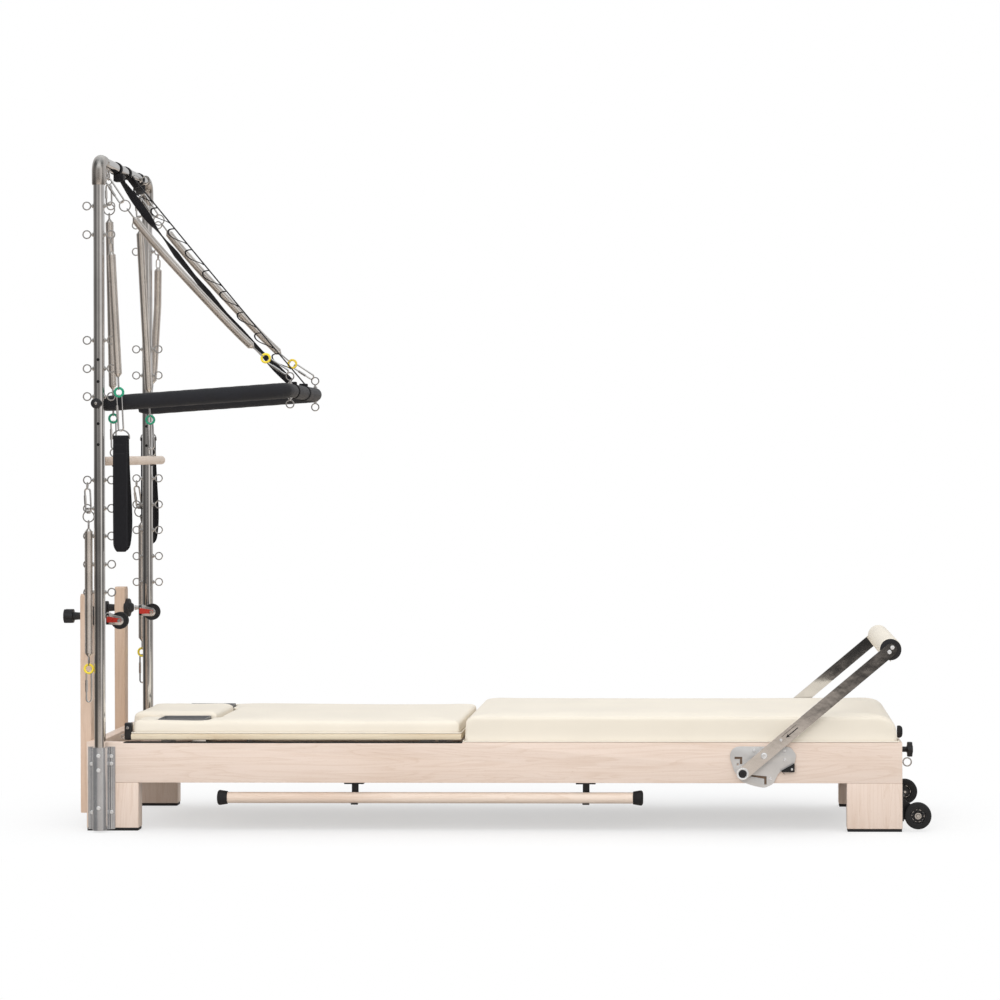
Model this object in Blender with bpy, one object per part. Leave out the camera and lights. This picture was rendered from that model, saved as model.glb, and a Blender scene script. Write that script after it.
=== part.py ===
"""Pilates reformer with a half tower, as an assembly of separate pieces.

Metres, +Z up. The origin is on the floor under the middle of the frame. +X runs to the foot
end, the tower stands at the -X (head) end, and the near side is -Y. side = -1 is the near
piece of a pair and side = +1 the far one.
"""
import math
from math import cos, pi, radians, sin

import bmesh
import bpy
from mathutils import Matrix, Vector

# ------------------------------------------------------------------ driving dimensions
GAP = 0.0003
HALF_LENGTH = 1.21
HALF_WIDTH = 0.34
RAIL_THICKNESS = 0.035
RAIL_BOTTOM, RAIL_TOP = 0.143, 0.263
FOOT_PAD = 0.010

LEG_DEPTH = 0.056
HEAD_LEG = (-HALF_LENGTH, -1.055)
FOOT_LEG = (1.047, HALF_LENGTH)

POST_X, POST_Y, POST_RADIUS = -1.1644, 0.365, 0.0165
POST_BOTTOM, SLEEVE_BOTTOM = 0.020, 1.920
CROSSBAR_Z, CROSSBAR_RADIUS, SLEEVE_RADIUS = 1.9915, 0.0175, 0.0205
ELBOW_BEND = 0.035
BRACKET_TOP, BRACKET_BOTTOM = 0.250, 0.005
RING_RADIUS, RING_WIRE = 0.0115, 0.002
POST_RING_REACH = 0.036
LINK_RADIUS, LINK_WIRE = 0.009, 0.0018
ARM_RING_Z, LEG_RING_Z = 1.772, 1.043

RISER_X = (-1.243, -HALF_LENGTH - GAP)
RISER_Y, RISER_HALF_WIDTH = 0.2485, 0.025
RISER_TOP = 0.700
PULLEY_Z, PULLEY_X, PULLEY_RADIUS = 0.6335, -1.128, 0.026
PULLEY_DROP = 0.0135

TRACK_Y = (0.262, HALF_WIDTH - RAIL_THICKNESS - GAP)
TRACK_TOP = 0.1935
WHEEL_RADIUS = 0.026
CARRIAGE_X = (-1.082, -0.094)
CARRIAGE_HALF_WIDTH = 0.318
CARRIAGE_BOARD_Z = (0.268, 0.286)
CARRIAGE_TOP = 0.328
CARRIAGE_WHEELS_X = (-0.98, -0.20)
CARRIAGE_WHEEL_Y = (0.2703, 0.2897)
HEADREST_X = (-1.112, -0.8445)
HEADREST_HALF_WIDTH, HEADREST_TOP = 0.1655, 0.338
POCKET_X, POCKET_OUTER_Y = (-1.0065, -0.866), 0.278
PLATE_TOP = 0.289

MAT_X, MAT_TOP = (-0.088, 1.2025), 0.344
SPRING_BAR_X = 0.62

FOOTBAR_PIVOT = (0.740, 0.1736)
FOOTBAR_ROLLER = (1.176, 0.538)
ARM_Y, ARM_HALF_WIDTH = (0.3605, 0.3685), 0.0185
PLATE_Y = (HALF_WIDTH + GAP, 0.3463)

PTB_PIVOT_Z, PTB_ARM_Y, PTB_RADIUS = 1.270, 0.320, 0.0235
PTB_BAR_X, PTB_BAR_Z, PTB_BAR_RADIUS = -0.613, 1.308, 0.0215
PTB_EYE_X, PTB_EYE_Y, PTB_EYE_TOP, PTB_EYE_BOTTOM = -0.609, 0.272, 1.351, 1.268

INNER_SPRING_Y = 0.224
CROSSBAR_EYE_Z = 1.9585
DIAGONAL_SPRING_Y = 0.266
ROLL_DOWN_ENDS = ((-1.159, -0.34, 1.0990), (-1.114, 0.34, 1.1015))
ROLL_DOWN_RADIUS = 0.0135
SPRING_RADIUS = 0.012

TRANSPORT_WHEEL = (1.2565, 0.0455)
TRANSPORT_WHEEL_RADIUS = 0.0395
TRANSPORT_WHEEL_Y = (0.3063, 0.3313)

POLE_X, POLE_Y, POLE_Z = (-0.8214, 0.4457), 0.320, 0.0968
POLE_RADIUS, POLE_CAP_RADIUS = 0.0165, 0.0225
POLE_HOOKS_X = (-0.4125, 0.2760)

SIDES = {"near": -1, "far": 1}


# ------------------------------------------------------------------ materials
def material(name, colour, roughness, metallic=0.0):
    new = bpy.data.materials.new(name)
    new.use_nodes = True
    shader = new.node_tree.nodes["Principled BSDF"]
    shader.inputs["Base Color"].default_value = (*colour, 1.0)
    shader.inputs["Roughness"].default_value = roughness
    shader.inputs["Metallic"].default_value = metallic
    new.diffuse_color = (*colour, 1.0)
    return new


def make_materials():
    return {
        "maple": material("maple", (0.80, 0.66, 0.53), 0.45),
        "vinyl": material("vinyl", (0.89, 0.84, 0.74), 0.5),
        "steel": material("steel", (0.72, 0.72, 0.72), 0.16, 1.0),
        "aluminium": material("aluminium", (0.55, 0.56, 0.58), 0.35, 1.0),
        "rubber": material("rubber", (0.012, 0.012, 0.013), 0.6),
        "plastic": material("plastic", (0.015, 0.015, 0.016), 0.4),
        "webbing": material("webbing", (0.012, 0.012, 0.015), 0.85),
        "grip": material("grip", (0.09, 0.09, 0.10), 0.6),
        "red": material("red", (0.55, 0.03, 0.02), 0.35),
    }


# ------------------------------------------------------------------ bodies and nodes
BODIES = {}


def clear_scene():
    for old in list(bpy.data.objects):
        bpy.data.objects.remove(old, do_unlink=True)


def body(name, pivot, parent=None):
    """An empty on a joint's axis, which carries the nodes of one moving body."""
    empty = bpy.data.objects.new(name + "_pivot", None)
    bpy.context.collection.objects.link(empty)
    empty.location = pivot
    if parent:
        empty.parent = BODIES[parent][0]
        empty.location = Vector(pivot) - BODIES[parent][1]
    BODIES[name] = (empty, Vector(pivot))


def place(name, mesh_builder, mat, on):
    """Turn a bmesh in world coordinates into an object whose origin is its body's pivot."""
    empty, pivot = BODIES[on] if on else (None, Vector((0, 0, 0)))
    bmesh.ops.recalc_face_normals(mesh_builder, faces=mesh_builder.faces)
    bmesh.ops.transform(mesh_builder, matrix=Matrix.Translation(-pivot), verts=mesh_builder.verts)
    mesh = bpy.data.meshes.new(name)
    mesh_builder.to_mesh(mesh)
    mesh_builder.free()
    mesh.shade_smooth()
    mesh.set_sharp_from_angle(angle=radians(35))
    new = bpy.data.objects.new(name, mesh)
    bpy.context.collection.objects.link(new)
    new.data.materials.append(mat)
    if empty:
        new.parent = empty
    return new


def node(name, mat, shape, on=None, join=(), cut=(), bevel=0.0):
    """One named piece: a closed shape, with others joined to it and cut out of it."""
    new = place(name, shape, mat, on)
    if bevel:
        edge = new.modifiers.new("edges", "BEVEL")
        edge.width = bevel
        edge.segments = 1
        edge.limit_method = "ANGLE"
        edge.angle_limit = radians(50)
    for operation, shapes in (("UNION", join), ("DIFFERENCE", cut)):
        for count, tool_shape in enumerate(shapes):
            tool = place(f"{name}_{operation.lower()}_{count}", tool_shape, mat, on)
            tool.hide_render = True
            tool.display_type = "WIRE"
            boolean = new.modifiers.new(operation.lower(), "BOOLEAN")
            boolean.operation = operation
            boolean.solver = "EXACT"
            boolean.object = tool
    return new


# ------------------------------------------------------------------ shapes
def box(low, high):
    shape = bmesh.new()
    bmesh.ops.create_cube(shape, size=1.0)
    low, high = Vector(low), Vector(high)
    size = high - low
    matrix = Matrix.Translation((low + high) / 2) @ Matrix.Diagonal((*size, 1.0))
    bmesh.ops.transform(shape, matrix=matrix, verts=shape.verts)
    return shape


def side_box(side, x, y, z):
    """A box given by its spans in x, in distance from the middle plane, and in z."""
    low_y, high_y = sorted((side * y[0], side * y[1]))
    return box((x[0], low_y, z[0]), (x[1], high_y, z[1]))


def prism(outline, span, point):
    """An outline extruded over a span; point(u, v, w) places it in space."""
    shape = bmesh.new()
    rings = [[shape.verts.new(point(u, v, w)) for u, v in outline] for w in span]
    shape.faces.new(rings[0])
    shape.faces.new(reversed(rings[1]))
    count = len(outline)
    for i in range(count):
        j = (i + 1) % count
        shape.faces.new((rings[0][i], rings[1][i], rings[1][j], rings[0][j]))
    return shape


def xz_prism(outline, y_span, side):
    return prism(outline, y_span, lambda u, v, w: (u, side * w, v))


def xy_prism(outline, z_span):
    return prism(outline, z_span, lambda u, v, w: (u, v, w))


def arc(centre, radius, start, end, steps):
    """Points on an arc, in degrees, anticlockwise in the outline's own plane."""
    angles = [radians(start + (end - start) * i / steps) for i in range(steps + 1)]
    return [(centre[0] + radius * cos(a), centre[1] + radius * sin(a)) for a in angles]


def tube(path, radii, sides=12):
    """A round bar along a path, closed at both ends; radii is one number or one per point."""
    points = [Vector(p) for p in path]
    if not hasattr(radii, "__len__"):
        radii = [radii] * len(points)
    shape = bmesh.new()
    rings = []
    normal = None
    for i, centre in enumerate(points):
        before = points[i] - points[i - 1] if i else points[1] - points[0]
        after = points[i + 1] - points[i] if i < len(points) - 1 else before
        tangent = (before.normalized() + after.normalized()).normalized()
        if normal is None:
            guide = Vector((0, 0, 1)) if abs(tangent.z) < 0.9 else Vector((1, 0, 0))
            normal = guide.cross(tangent)
        normal = (normal - tangent * normal.dot(tangent)).normalized()
        other = tangent.cross(normal)
        ring = []
        for k in range(sides):
            a = 2 * pi * (k + 0.5) / sides
            ring.append(shape.verts.new(centre + (normal * cos(a) + other * sin(a)) * radii[i]))
        rings.append(ring)
    for first, second in zip(rings, rings[1:]):
        for k in range(sides):
            m = (k + 1) % sides
            shape.faces.new((first[k], first[m], second[m], second[k]))
    shape.faces.new(reversed(rings[0]))
    shape.faces.new(rings[-1])
    return shape


def turned(start, direction, profile, sides=12):
    """A turned bar: profile is (distance along direction, radius) pairs."""
    start, direction = Vector(start), Vector(direction).normalized()
    guide = Vector((0, 0, 1)) if abs(direction.z) < 0.9 else Vector((1, 0, 0))
    normal = guide.cross(direction).normalized()
    other = direction.cross(normal)
    shape = bmesh.new()
    rings = []
    for distance, radius in profile:
        centre = start + direction * distance
        ring = []
        for k in range(sides):
            a = 2 * pi * (k + 0.5) / sides
            ring.append(shape.verts.new(centre + (normal * cos(a) + other * sin(a)) * radius))
        rings.append(ring)
    for first, second in zip(rings, rings[1:]):
        for k in range(sides):
            m = (k + 1) % sides
            shape.faces.new((first[k], first[m], second[m], second[k]))
    shape.faces.new(reversed(rings[0]))
    shape.faces.new(rings[-1])
    return shape


def bored_wheel(centre, profile, sides=20):
    """A wheel turned about Y: profile is a closed loop of (offset along Y, radius) pairs."""
    shape = bmesh.new()
    rings = []
    for offset, radius in profile:
        ring = []
        for k in range(sides):
            a = 2 * pi * k / sides
            ring.append(shape.verts.new((centre[0] + radius * cos(a), centre[1] + offset,
                                         centre[2] + radius * sin(a))))
        rings.append(ring)
    for first, second in zip(rings, rings[1:] + rings[:1]):
        for k in range(sides):
            m = (k + 1) % sides
            shape.faces.new((first[k], first[m], second[m], second[k]))
    return shape


def ring(centre, normal, radius=RING_RADIUS, wire=RING_WIRE, segments=14, sides=6):
    """A closed wire ring whose plane is square to normal."""
    centre, normal = Vector(centre), Vector(normal).normalized()
    guide = Vector((0, 0, 1)) if abs(normal.z) < 0.9 else Vector((1, 0, 0))
    first_axis = guide.cross(normal).normalized()
    second_axis = normal.cross(first_axis)
    shape = bmesh.new()
    loops = []
    for i in range(segments):
        a = 2 * pi * i / segments
        outward = first_axis * cos(a) + second_axis * sin(a)
        loop = []
        for k in range(sides):
            b = 2 * pi * k / sides
            loop.append(shape.verts.new(centre + outward * (radius + wire * cos(b))
                                        + normal * wire * sin(b)))
        loops.append(loop)
    for i in range(segments):
        first, second = loops[i], loops[(i + 1) % segments]
        for k in range(sides):
            m = (k + 1) % sides
            shape.faces.new((first[k], second[k], second[m], first[m]))
    return shape


def star_outline(radius, lobes=6):
    """The outline of a star knob's head, in its own plane."""
    count = lobes * 4
    points = []
    for i in range(count):
        a = 2 * pi * i / count
        r = radius * (0.93 + 0.07 * cos(lobes * a))
        points.append((r * cos(a), r * sin(a)))
    return points


def star_knob(x_span, centre_y, centre_z, radius):
    """A star knob's head whose shaft runs along X."""
    outline = star_outline(radius)
    return prism(outline, x_span, lambda u, v, w: (w, centre_y + u, centre_z + v))


# ------------------------------------------------------------------ the frame
def frame(mats):
    inner = HALF_WIDTH - RAIL_THICKNESS - GAP
    for name, side in SIDES.items():
        node(f"rail_{name}", mats["maple"],
             side_box(side, (-HALF_LENGTH, HALF_LENGTH), (HALF_WIDTH - RAIL_THICKNESS, HALF_WIDTH),
                      (RAIL_BOTTOM, RAIL_TOP)), bevel=0.003)
        node(f"track_{name}", mats["aluminium"],
             side_box(side, (-1.1745, 1.1745), TRACK_Y, (TRACK_TOP - 0.0035, TRACK_TOP)))
        for end, span in (("head", HEAD_LEG), ("foot", FOOT_LEG)):
            leg(f"leg_{end}_{name}", mats["maple"], side, span)
    node("head_board", mats["maple"],
         box((-HALF_LENGTH, -inner, RAIL_BOTTOM), (-1.175, inner, RAIL_TOP)), bevel=0.002)
    eye_y, eye_z = -0.040, 0.1755
    eye = turned((HALF_LENGTH - 0.004, eye_y, eye_z), (1, 0, 0), [(0, 0.003), (0.024, 0.003)], 8)
    node("foot_board", mats["maple"],
         box((1.175, -inner, RAIL_BOTTOM), (HALF_LENGTH, inner, RAIL_TOP)), bevel=0.002,
         join=[eye, ring((1.2425, eye_y, eye_z), (0, 1, 0), 0.0125)])
    pegs = [turned((SPRING_BAR_X, y, 0.186), (0, 0, 1), [(0, 0.006), (0.022, 0.006)], 8)
            for y in (-0.18, -0.09, 0.0, 0.09, 0.18)]
    node("spring_bar", mats["aluminium"],
         box((SPRING_BAR_X - 0.012, -0.3012, 0.160), (SPRING_BAR_X + 0.012, 0.3012, 0.1895)),
         join=pegs)


def leg(name, mat, side, span):
    """A leg block with a thin foot pad, in one piece."""
    shape = side_box(side, span, (HALF_WIDTH - LEG_DEPTH, HALF_WIDTH),
                     (FOOT_PAD, RAIL_BOTTOM - GAP))
    pad = side_box(side, (span[0] + 0.0015, span[1] - 0.0015),
                   (HALF_WIDTH - LEG_DEPTH + 0.0015, HALF_WIDTH - 0.0015), (0, FOOT_PAD + 0.002))
    node(name, mat, shape, join=[pad])


def corner_brackets(mats):
    """Extruded sockets on the outer side faces that hold the tower posts."""
    flange_half, flange_depth, boss = 0.0405, 0.004, 0.0225
    boss_centre = POST_Y - HALF_WIDTH - GAP
    for name, side in SIDES.items():
        outline = [(-flange_half, 0), (flange_half, 0), (flange_half, flange_depth),
                   (boss, flange_depth)]
        outline += arc((0, boss_centre), boss, 0, 180, 10)
        outline += [(-boss, flange_depth), (-flange_half, flange_depth)]
        shape = prism(outline, (BRACKET_BOTTOM, BRACKET_TOP),
                      lambda u, v, w, s=side: (POST_X + u, s * (HALF_WIDTH + GAP + v), w))
        bore = turned((POST_X, side * POST_Y, POST_BOTTOM), (0, 0, 1),
                      [(0, POST_RADIUS + 2 * GAP), (0.3, POST_RADIUS + 2 * GAP)], 24)
        node(f"corner_bracket_{name}", mats["aluminium"], shape, cut=[bore])


# ------------------------------------------------------------------ the tower
def tower(mats):
    for name, side in SIDES.items():
        foot = (POST_X, side * POST_Y, POST_BOTTOM + GAP)
        height = SLEEVE_BOTTOM - POST_BOTTOM - 2 * GAP
        post = turned(foot, (0, 0, 1), [(0, POST_RADIUS), (height, POST_RADIUS)], 24)
        joined = []
        for reach, z in ((POST_RING_REACH, ARM_RING_Z), (-POST_RING_REACH, LEG_RING_Z)):
            shank = math.copysign(0.022, reach)
            joined.append(tube([(POST_X + shank * 0.5, side * POST_Y, z),
                                (POST_X + shank * 1.15, side * POST_Y, z)], 0.0035, 8))
            joined.append(ring((POST_X + reach, side * POST_Y, z), (0, 1, 0)))
        pivot_hole = turned((POST_X, side * (POST_Y - 0.03), PTB_PIVOT_Z), (0, side, 0),
                            [(0, 0.0063), (0.06, 0.0063)], 16)
        node(f"tower_post_{name}", mats["steel"], post, join=joined, cut=[pivot_hole])
    crossbar(mats)


def crossbar(mats):
    """Two elbows and the bar between them, one welded piece, with its eyebolts."""
    bend_y, bend_z = POST_Y - ELBOW_BEND, CROSSBAR_Z - ELBOW_BEND
    half = [(-POST_Y, SLEEVE_BOTTOM, SLEEVE_RADIUS)]
    for y, z in arc((-bend_y, bend_z), ELBOW_BEND, 180, 90, 5):
        half.append((y, z, SLEEVE_RADIUS))
    half.append((-0.305, CROSSBAR_Z, SLEEVE_RADIUS))
    half.append((-0.304, CROSSBAR_Z, CROSSBAR_RADIUS))
    profile = half + [(-y, z, r) for y, z, r in reversed(half)]
    bar = tube([(POST_X, y, z) for y, z, _ in profile], [r for _, _, r in profile], 16)
    joined = []
    for side in SIDES.values():
        for y in (INNER_SPRING_Y, DIAGONAL_SPRING_Y):
            joined.append(turned((POST_X, side * y, CROSSBAR_Z), (0, 0, -1),
                                 [(0, 0.0035), (0.0225, 0.0035)], 8))
            joined.append(ring((POST_X, side * y, CROSSBAR_EYE_Z), (1, 0, 0)))
    node("tower_crossbar", mats["steel"], bar, join=joined)


def risers(mats):
    """Boards on the head end that carry the pulleys, each with a clamping star knob."""
    for name, side in SIDES.items():
        y = (RISER_Y - RISER_HALF_WIDTH, RISER_Y + RISER_HALF_WIDTH)
        board = side_box(side, RISER_X, y, (0.045, RISER_TOP))
        flange = turned((RISER_X[1] - 0.004, side * RISER_Y, PULLEY_Z), (1, 0, 0),
                        [(0, 0.029), (0.0163, 0.029), (0.0165, 0.019), (0.0270, 0.011)], 16)
        node(f"riser_{name}", mats["maple"], board, join=[flange], bevel=0.004)

        knob_body = f"riser_knob_{name}"
        body(knob_body, (RISER_X[0], side * RISER_Y, PULLEY_Z))
        stem = turned((-1.270, side * RISER_Y, PULLEY_Z), (1, 0, 0),
                      [(0, 0.012), (-1 * (-1.270 - RISER_X[0]) - GAP, 0.012)], 12)
        node(knob_body, mats["plastic"], star_knob((-1.296, -1.267), side * RISER_Y, PULLEY_Z, 0.023),
             on=knob_body, join=[stem])
        pulley(mats, name, side)


def pulley(mats, name, side):
    """A swivelling housing with two cheeks, and a grooved wheel on its axle."""
    wheel_z = PULLEY_Z - PULLEY_DROP
    y0 = side * RISER_Y
    housing_body, wheel_body = f"pulley_housing_{name}", f"pulley_wheel_{name}"
    body(housing_body, (PULLEY_X, y0, PULLEY_Z))
    neck = turned((-1.1830, y0, PULLEY_Z), (1, 0, 0), [(0, 0.008), (0.019, 0.008)], 12)
    bridge = box((-1.1680, y0 - 0.012, wheel_z - 0.011), (-1.1570, y0 + 0.012, PULLEY_Z + 0.010))
    cheek_outline = [(-1.1680, wheel_z - 0.011)]
    cheek_outline += arc((PULLEY_X, wheel_z), 0.012, -90, 90, 8)
    cheek_outline += [(-1.1680, wheel_z + 0.020)]
    cheeks = [prism(cheek_outline, span, lambda u, v, w: (u, y0 + w, v))
              for span in ((-0.012, -0.009), (0.009, 0.012))]
    axle = turned((PULLEY_X, y0 - 0.0105, wheel_z), (0, 1, 0), [(0, 0.004), (0.021, 0.004)], 12)
    node(housing_body, mats["red"], bridge, on=housing_body, join=[neck, axle] + cheeks)

    body(wheel_body, (PULLEY_X, y0, wheel_z), parent=housing_body)
    rim = PULLEY_RADIUS
    profile = [(-0.0075, 0.0045), (-0.0075, rim), (-0.0050, rim), (0.0, rim - 0.006),
               (0.0050, rim), (0.0075, rim), (0.0075, 0.0045)]
    node(wheel_body, mats["plastic"], bored_wheel((PULLEY_X, y0, wheel_z), profile), on=wheel_body)


# ------------------------------------------------------------------ carriage and mat
def carriage(mats):
    body("carriage", (CARRIAGE_X[0], 0, CARRIAGE_BOARD_Z[0]))
    board = box((CARRIAGE_X[0], -CARRIAGE_HALF_WIDTH, CARRIAGE_BOARD_Z[0]),
                (CARRIAGE_X[1], CARRIAGE_HALF_WIDTH, CARRIAGE_BOARD_Z[1]))
    wheel_z = TRACK_TOP + GAP + WHEEL_RADIUS
    joined = []
    for side in SIDES.values():
        joined.append(side_box(side, (-1.103, -1.0825), (0.280, 0.310), (0.2665, 0.317)))
        joined.append(side_box(side, (-1.101, -1.076), (0.281, 0.309), (0.2685, 0.284)))
        joined.append(side_box(side, (POCKET_X[0] + 0.003, POCKET_X[1] - 0.003),
                               (HEADREST_HALF_WIDTH + 0.0075, POCKET_OUTER_Y - 0.003),
                               (CARRIAGE_BOARD_Z[1] - 0.001, PLATE_TOP)))
        for x in CARRIAGE_WHEELS_X:
            joined.append(side_box(side, (x - 0.022, x + 0.022), (0.255, 0.265),
                                   (wheel_z - 0.012, CARRIAGE_BOARD_Z[0] + 0.002)))
            joined.append(turned((x, side * 0.262, wheel_z), (0, side, 0),
                                 [(0, 0.004), (0.0285, 0.004)], 12))
    node("carriage_board", mats["maple"], board, on="carriage", join=joined)

    slot_y = HEADREST_HALF_WIDTH + 0.0045
    slot_x = HEADREST_X[1] + 0.0065
    half = [(CARRIAGE_X[1], CARRIAGE_HALF_WIDTH), (CARRIAGE_X[0], CARRIAGE_HALF_WIDTH),
            (CARRIAGE_X[0], slot_y), (POCKET_X[0], slot_y), (POCKET_X[0], POCKET_OUTER_Y),
            (POCKET_X[1], POCKET_OUTER_Y), (POCKET_X[1], slot_y), (slot_x, slot_y)]
    outline = half + [(x, -y) for x, y in reversed(half)]
    node("carriage_cushion", mats["vinyl"],
         xy_prism(outline, (CARRIAGE_BOARD_Z[1] + GAP, CARRIAGE_TOP)), on="carriage", bevel=0.003)

    bar_z = (0.235, CARRIAGE_BOARD_Z[0] - GAP)
    first_bar = box((-0.172, -0.215, bar_z[0]), (-0.148, 0.215, bar_z[1]))
    second_bar = box((-0.752, -0.215, bar_z[0]), (-0.736, 0.215, bar_z[1]))
    springs = [turned((-0.745, y, 0.2515), (1, 0, 0),
                      [(0, 0.004), (0.040, 0.004), (0.050, 0.011), (0.550, 0.011), (0.560, 0.004),
                       (0.585, 0.004)], 10) for y in (-0.18, -0.06, 0.06, 0.18)]
    node("carriage_springs", mats["steel"], first_bar, on="carriage", join=[second_bar] + springs)

    hinge = (HEADREST_X[1], 0, 0.331)
    body("headrest", hinge, parent="carriage")
    node("headrest", mats["vinyl"],
         box((HEADREST_X[0], -HEADREST_HALF_WIDTH, CARRIAGE_BOARD_Z[1] + GAP),
             (HEADREST_X[1], HEADREST_HALF_WIDTH, HEADREST_TOP)), on="headrest", bevel=0.004)
    carriage_wheels(mats, wheel_z)


def carriage_wheels(mats, wheel_z):
    for end, x in zip(("head", "foot"), CARRIAGE_WHEELS_X):
        for name, side in SIDES.items():
            wheel_body = f"carriage_wheel_{end}_{name}"
            centre = (x, side * sum(CARRIAGE_WHEEL_Y) / 2, wheel_z)
            half = (CARRIAGE_WHEEL_Y[1] - CARRIAGE_WHEEL_Y[0]) / 2
            body(wheel_body, centre, parent="carriage")
            profile = [(-half, 0.0044), (-half, WHEEL_RADIUS - 0.002), (-half + 0.002, WHEEL_RADIUS),
                       (half - 0.002, WHEEL_RADIUS), (half, WHEEL_RADIUS - 0.002), (half, 0.0044)]
            node(wheel_body, mats["plastic"], bored_wheel(centre, profile), on=wheel_body)


def mat_insert(mats):
    """The thick mat that fills the foot end, with two rubber bumpers on its end."""
    body("mat", (MAT_X[0], 0, RAIL_TOP))
    bottom = RAIL_TOP + GAP
    outline = [(MAT_X[0], bottom), (MAT_X[1], bottom)]
    outline += arc((MAT_X[1] - 0.05, MAT_TOP - 0.05), 0.05, 0, 90, 5)
    outline += arc((MAT_X[0] + 0.028, MAT_TOP - 0.028), 0.028, 90, 180, 3)
    cushion = xz_prism(outline, (-HALF_WIDTH, HALF_WIDTH), 1)
    bumpers = [side_box(side, (MAT_X[1] - 0.01, MAT_X[1] + 0.012), (0.262, 0.298), (0.268, 0.312))
               for side in SIDES.values()]
    node("mat_cushion", mats["vinyl"], cushion, on="mat", join=bumpers)


# ------------------------------------------------------------------ footbar
def footbar(mats):
    plate_corners = [(0.7237, 0.2522), (0.8809, 0.2510), (0.8984, 0.2273), (0.8928, 0.2006),
                     (0.8453, 0.1739), (0.8305, 0.1413), (0.8038, 0.1294), (0.7682, 0.1368),
                     (0.7356, 0.1487), (0.7148, 0.1798), (0.7018, 0.2213), (0.7074, 0.2421)]
    pivot, roller = Vector(FOOTBAR_PIVOT), Vector(FOOTBAR_ROLLER)
    tilt = math.degrees(math.atan2(roller.y - pivot.y, roller.x - pivot.x))
    arm = arc(pivot, ARM_HALF_WIDTH, tilt + 90, tilt + 270, 8)
    arm += arc(roller, ARM_HALF_WIDTH, tilt - 90, tilt + 90, 8)
    body("footbar", (pivot.x, 0, pivot.y))
    for name, side in SIDES.items():
        node(f"footbar_plate_{name}", mats["aluminium"], xz_prism(plate_corners, PLATE_Y, side))
        stud = turned((pivot.x, side * (PLATE_Y[1] + GAP), pivot.y), (0, side, 0),
                      [(0, 0.0118), (0.3715 - PLATE_Y[1] - GAP, 0.0118)], 16)
        node(f"footbar_arm_{name}", mats["steel"], xz_prism(arm, ARM_Y, side), on="footbar",
             join=[stud])
    inner = ARM_Y[0] - GAP
    roller_start = (roller.x, -inner, roller.y)
    profile = [(0, 0.032), (0.010, 0.032), (0.0101, 0.034), (2 * inner - 0.0101, 0.034),
               (2 * inner - 0.010, 0.032), (2 * inner, 0.032)]
    node("footbar_roller", mats["vinyl"], turned(roller_start, (0, 1, 0), profile, 20), on="footbar")


# ------------------------------------------------------------------ tower accessories
def push_through_bar(mats):
    """A padded U-shaped bar on two pins through the posts, with its eyebolts and knobs."""
    body("push_through_bar", (POST_X, 0, PTB_PIVOT_Z))
    bend = 0.030
    rise = (PTB_BAR_Z - PTB_PIVOT_Z) / (PTB_BAR_X - POST_X)
    half = [(POST_X - 0.018, -PTB_ARM_Y)]
    half += [(x, y) for x, y in arc((PTB_BAR_X - bend, -PTB_ARM_Y + bend), bend, -90, 0, 5)]
    path = half + [(x, -y) for x, y in reversed(half)]
    points = [(x, y, PTB_PIVOT_Z + (x - POST_X) * rise) for x, y in path]
    radii = [PTB_RADIUS] * 3 + [PTB_BAR_RADIUS] * (len(points) - 6) + [PTB_RADIUS] * 3
    joined = []
    pin = [(0, 0.006), (0.0520, 0.006)]
    pin_heads = {-1: [(0.0521, 0.015), (0.0865, 0.015)], 1: [(0.0521, 0.012), (0.0580, 0.012)]}
    for side in SIDES.values():
        joined.append(turned((POST_X, side * 0.330, PTB_PIVOT_Z), (0, side, 0),
                             pin + pin_heads[side], 16))
        for z, start in ((PTB_EYE_TOP, 1), (PTB_EYE_BOTTOM, -1)):
            joined.append(turned((PTB_EYE_X, side * PTB_EYE_Y, PTB_BAR_Z + start * 0.012),
                                 (0, 0, start), [(0, 0.0035), (0.0205, 0.0035)], 8))
            joined.append(ring((PTB_EYE_X, side * PTB_EYE_Y, z), (0, 1, 0)))
    node("push_through_bar", mats["grip"], tube(points, radii, 16), on="push_through_bar",
         join=joined)


def hanging_spring(points, coil_from, coil_to, disc):
    """A closed stand-in for a spring on its hooks; coil_from, coil_to and disc are fractions
    of the way along its points."""
    path = [Vector(p) for p in points]
    lengths = [0.0]
    for first, second in zip(path, path[1:]):
        lengths.append(lengths[-1] + (second - first).length)
    total = lengths[-1]

    def at(fraction):
        wanted = fraction * total
        for i in range(len(path) - 1):
            if wanted <= lengths[i + 1] or i == len(path) - 2:
                part = (wanted - lengths[i]) / (lengths[i + 1] - lengths[i])
                return path[i].lerp(path[i + 1], part)
        return path[-1]

    rod, step = 0.003, 0.006 / total
    stations = [(0.0, rod), (coil_from, rod)]
    middle = [coil_from + (coil_to - coil_from) * i / 6 for i in range(7)]
    stations += [(coil_from + step, SPRING_RADIUS)]
    stations += [(f, SPRING_RADIUS) for f in middle[1:-1]]
    stations += [(coil_to - step, SPRING_RADIUS), (coil_to, rod)]
    disc_half = 0.011 / total
    stations += [(disc - disc_half, rod), (disc - disc_half * 0.8, 0.011),
                 (disc + disc_half * 0.8, 0.011), (disc + disc_half, rod), (1.0, rod)]
    return tube([at(f) for f, _ in stations], [r for _, r in stations], 10)


def linked(eye, normal):
    """The first link that hangs in an eye: a ring square to it, 0.3 mm clear of its wire.
    Returns the link and the height of its lowest point."""
    drop = RING_RADIUS - (RING_WIRE + LINK_WIRE + GAP) + LINK_RADIUS
    centre = (eye[0], eye[1], eye[2] - drop)
    return ring(centre, normal, LINK_RADIUS, LINK_WIRE), centre[2] - LINK_RADIUS


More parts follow.
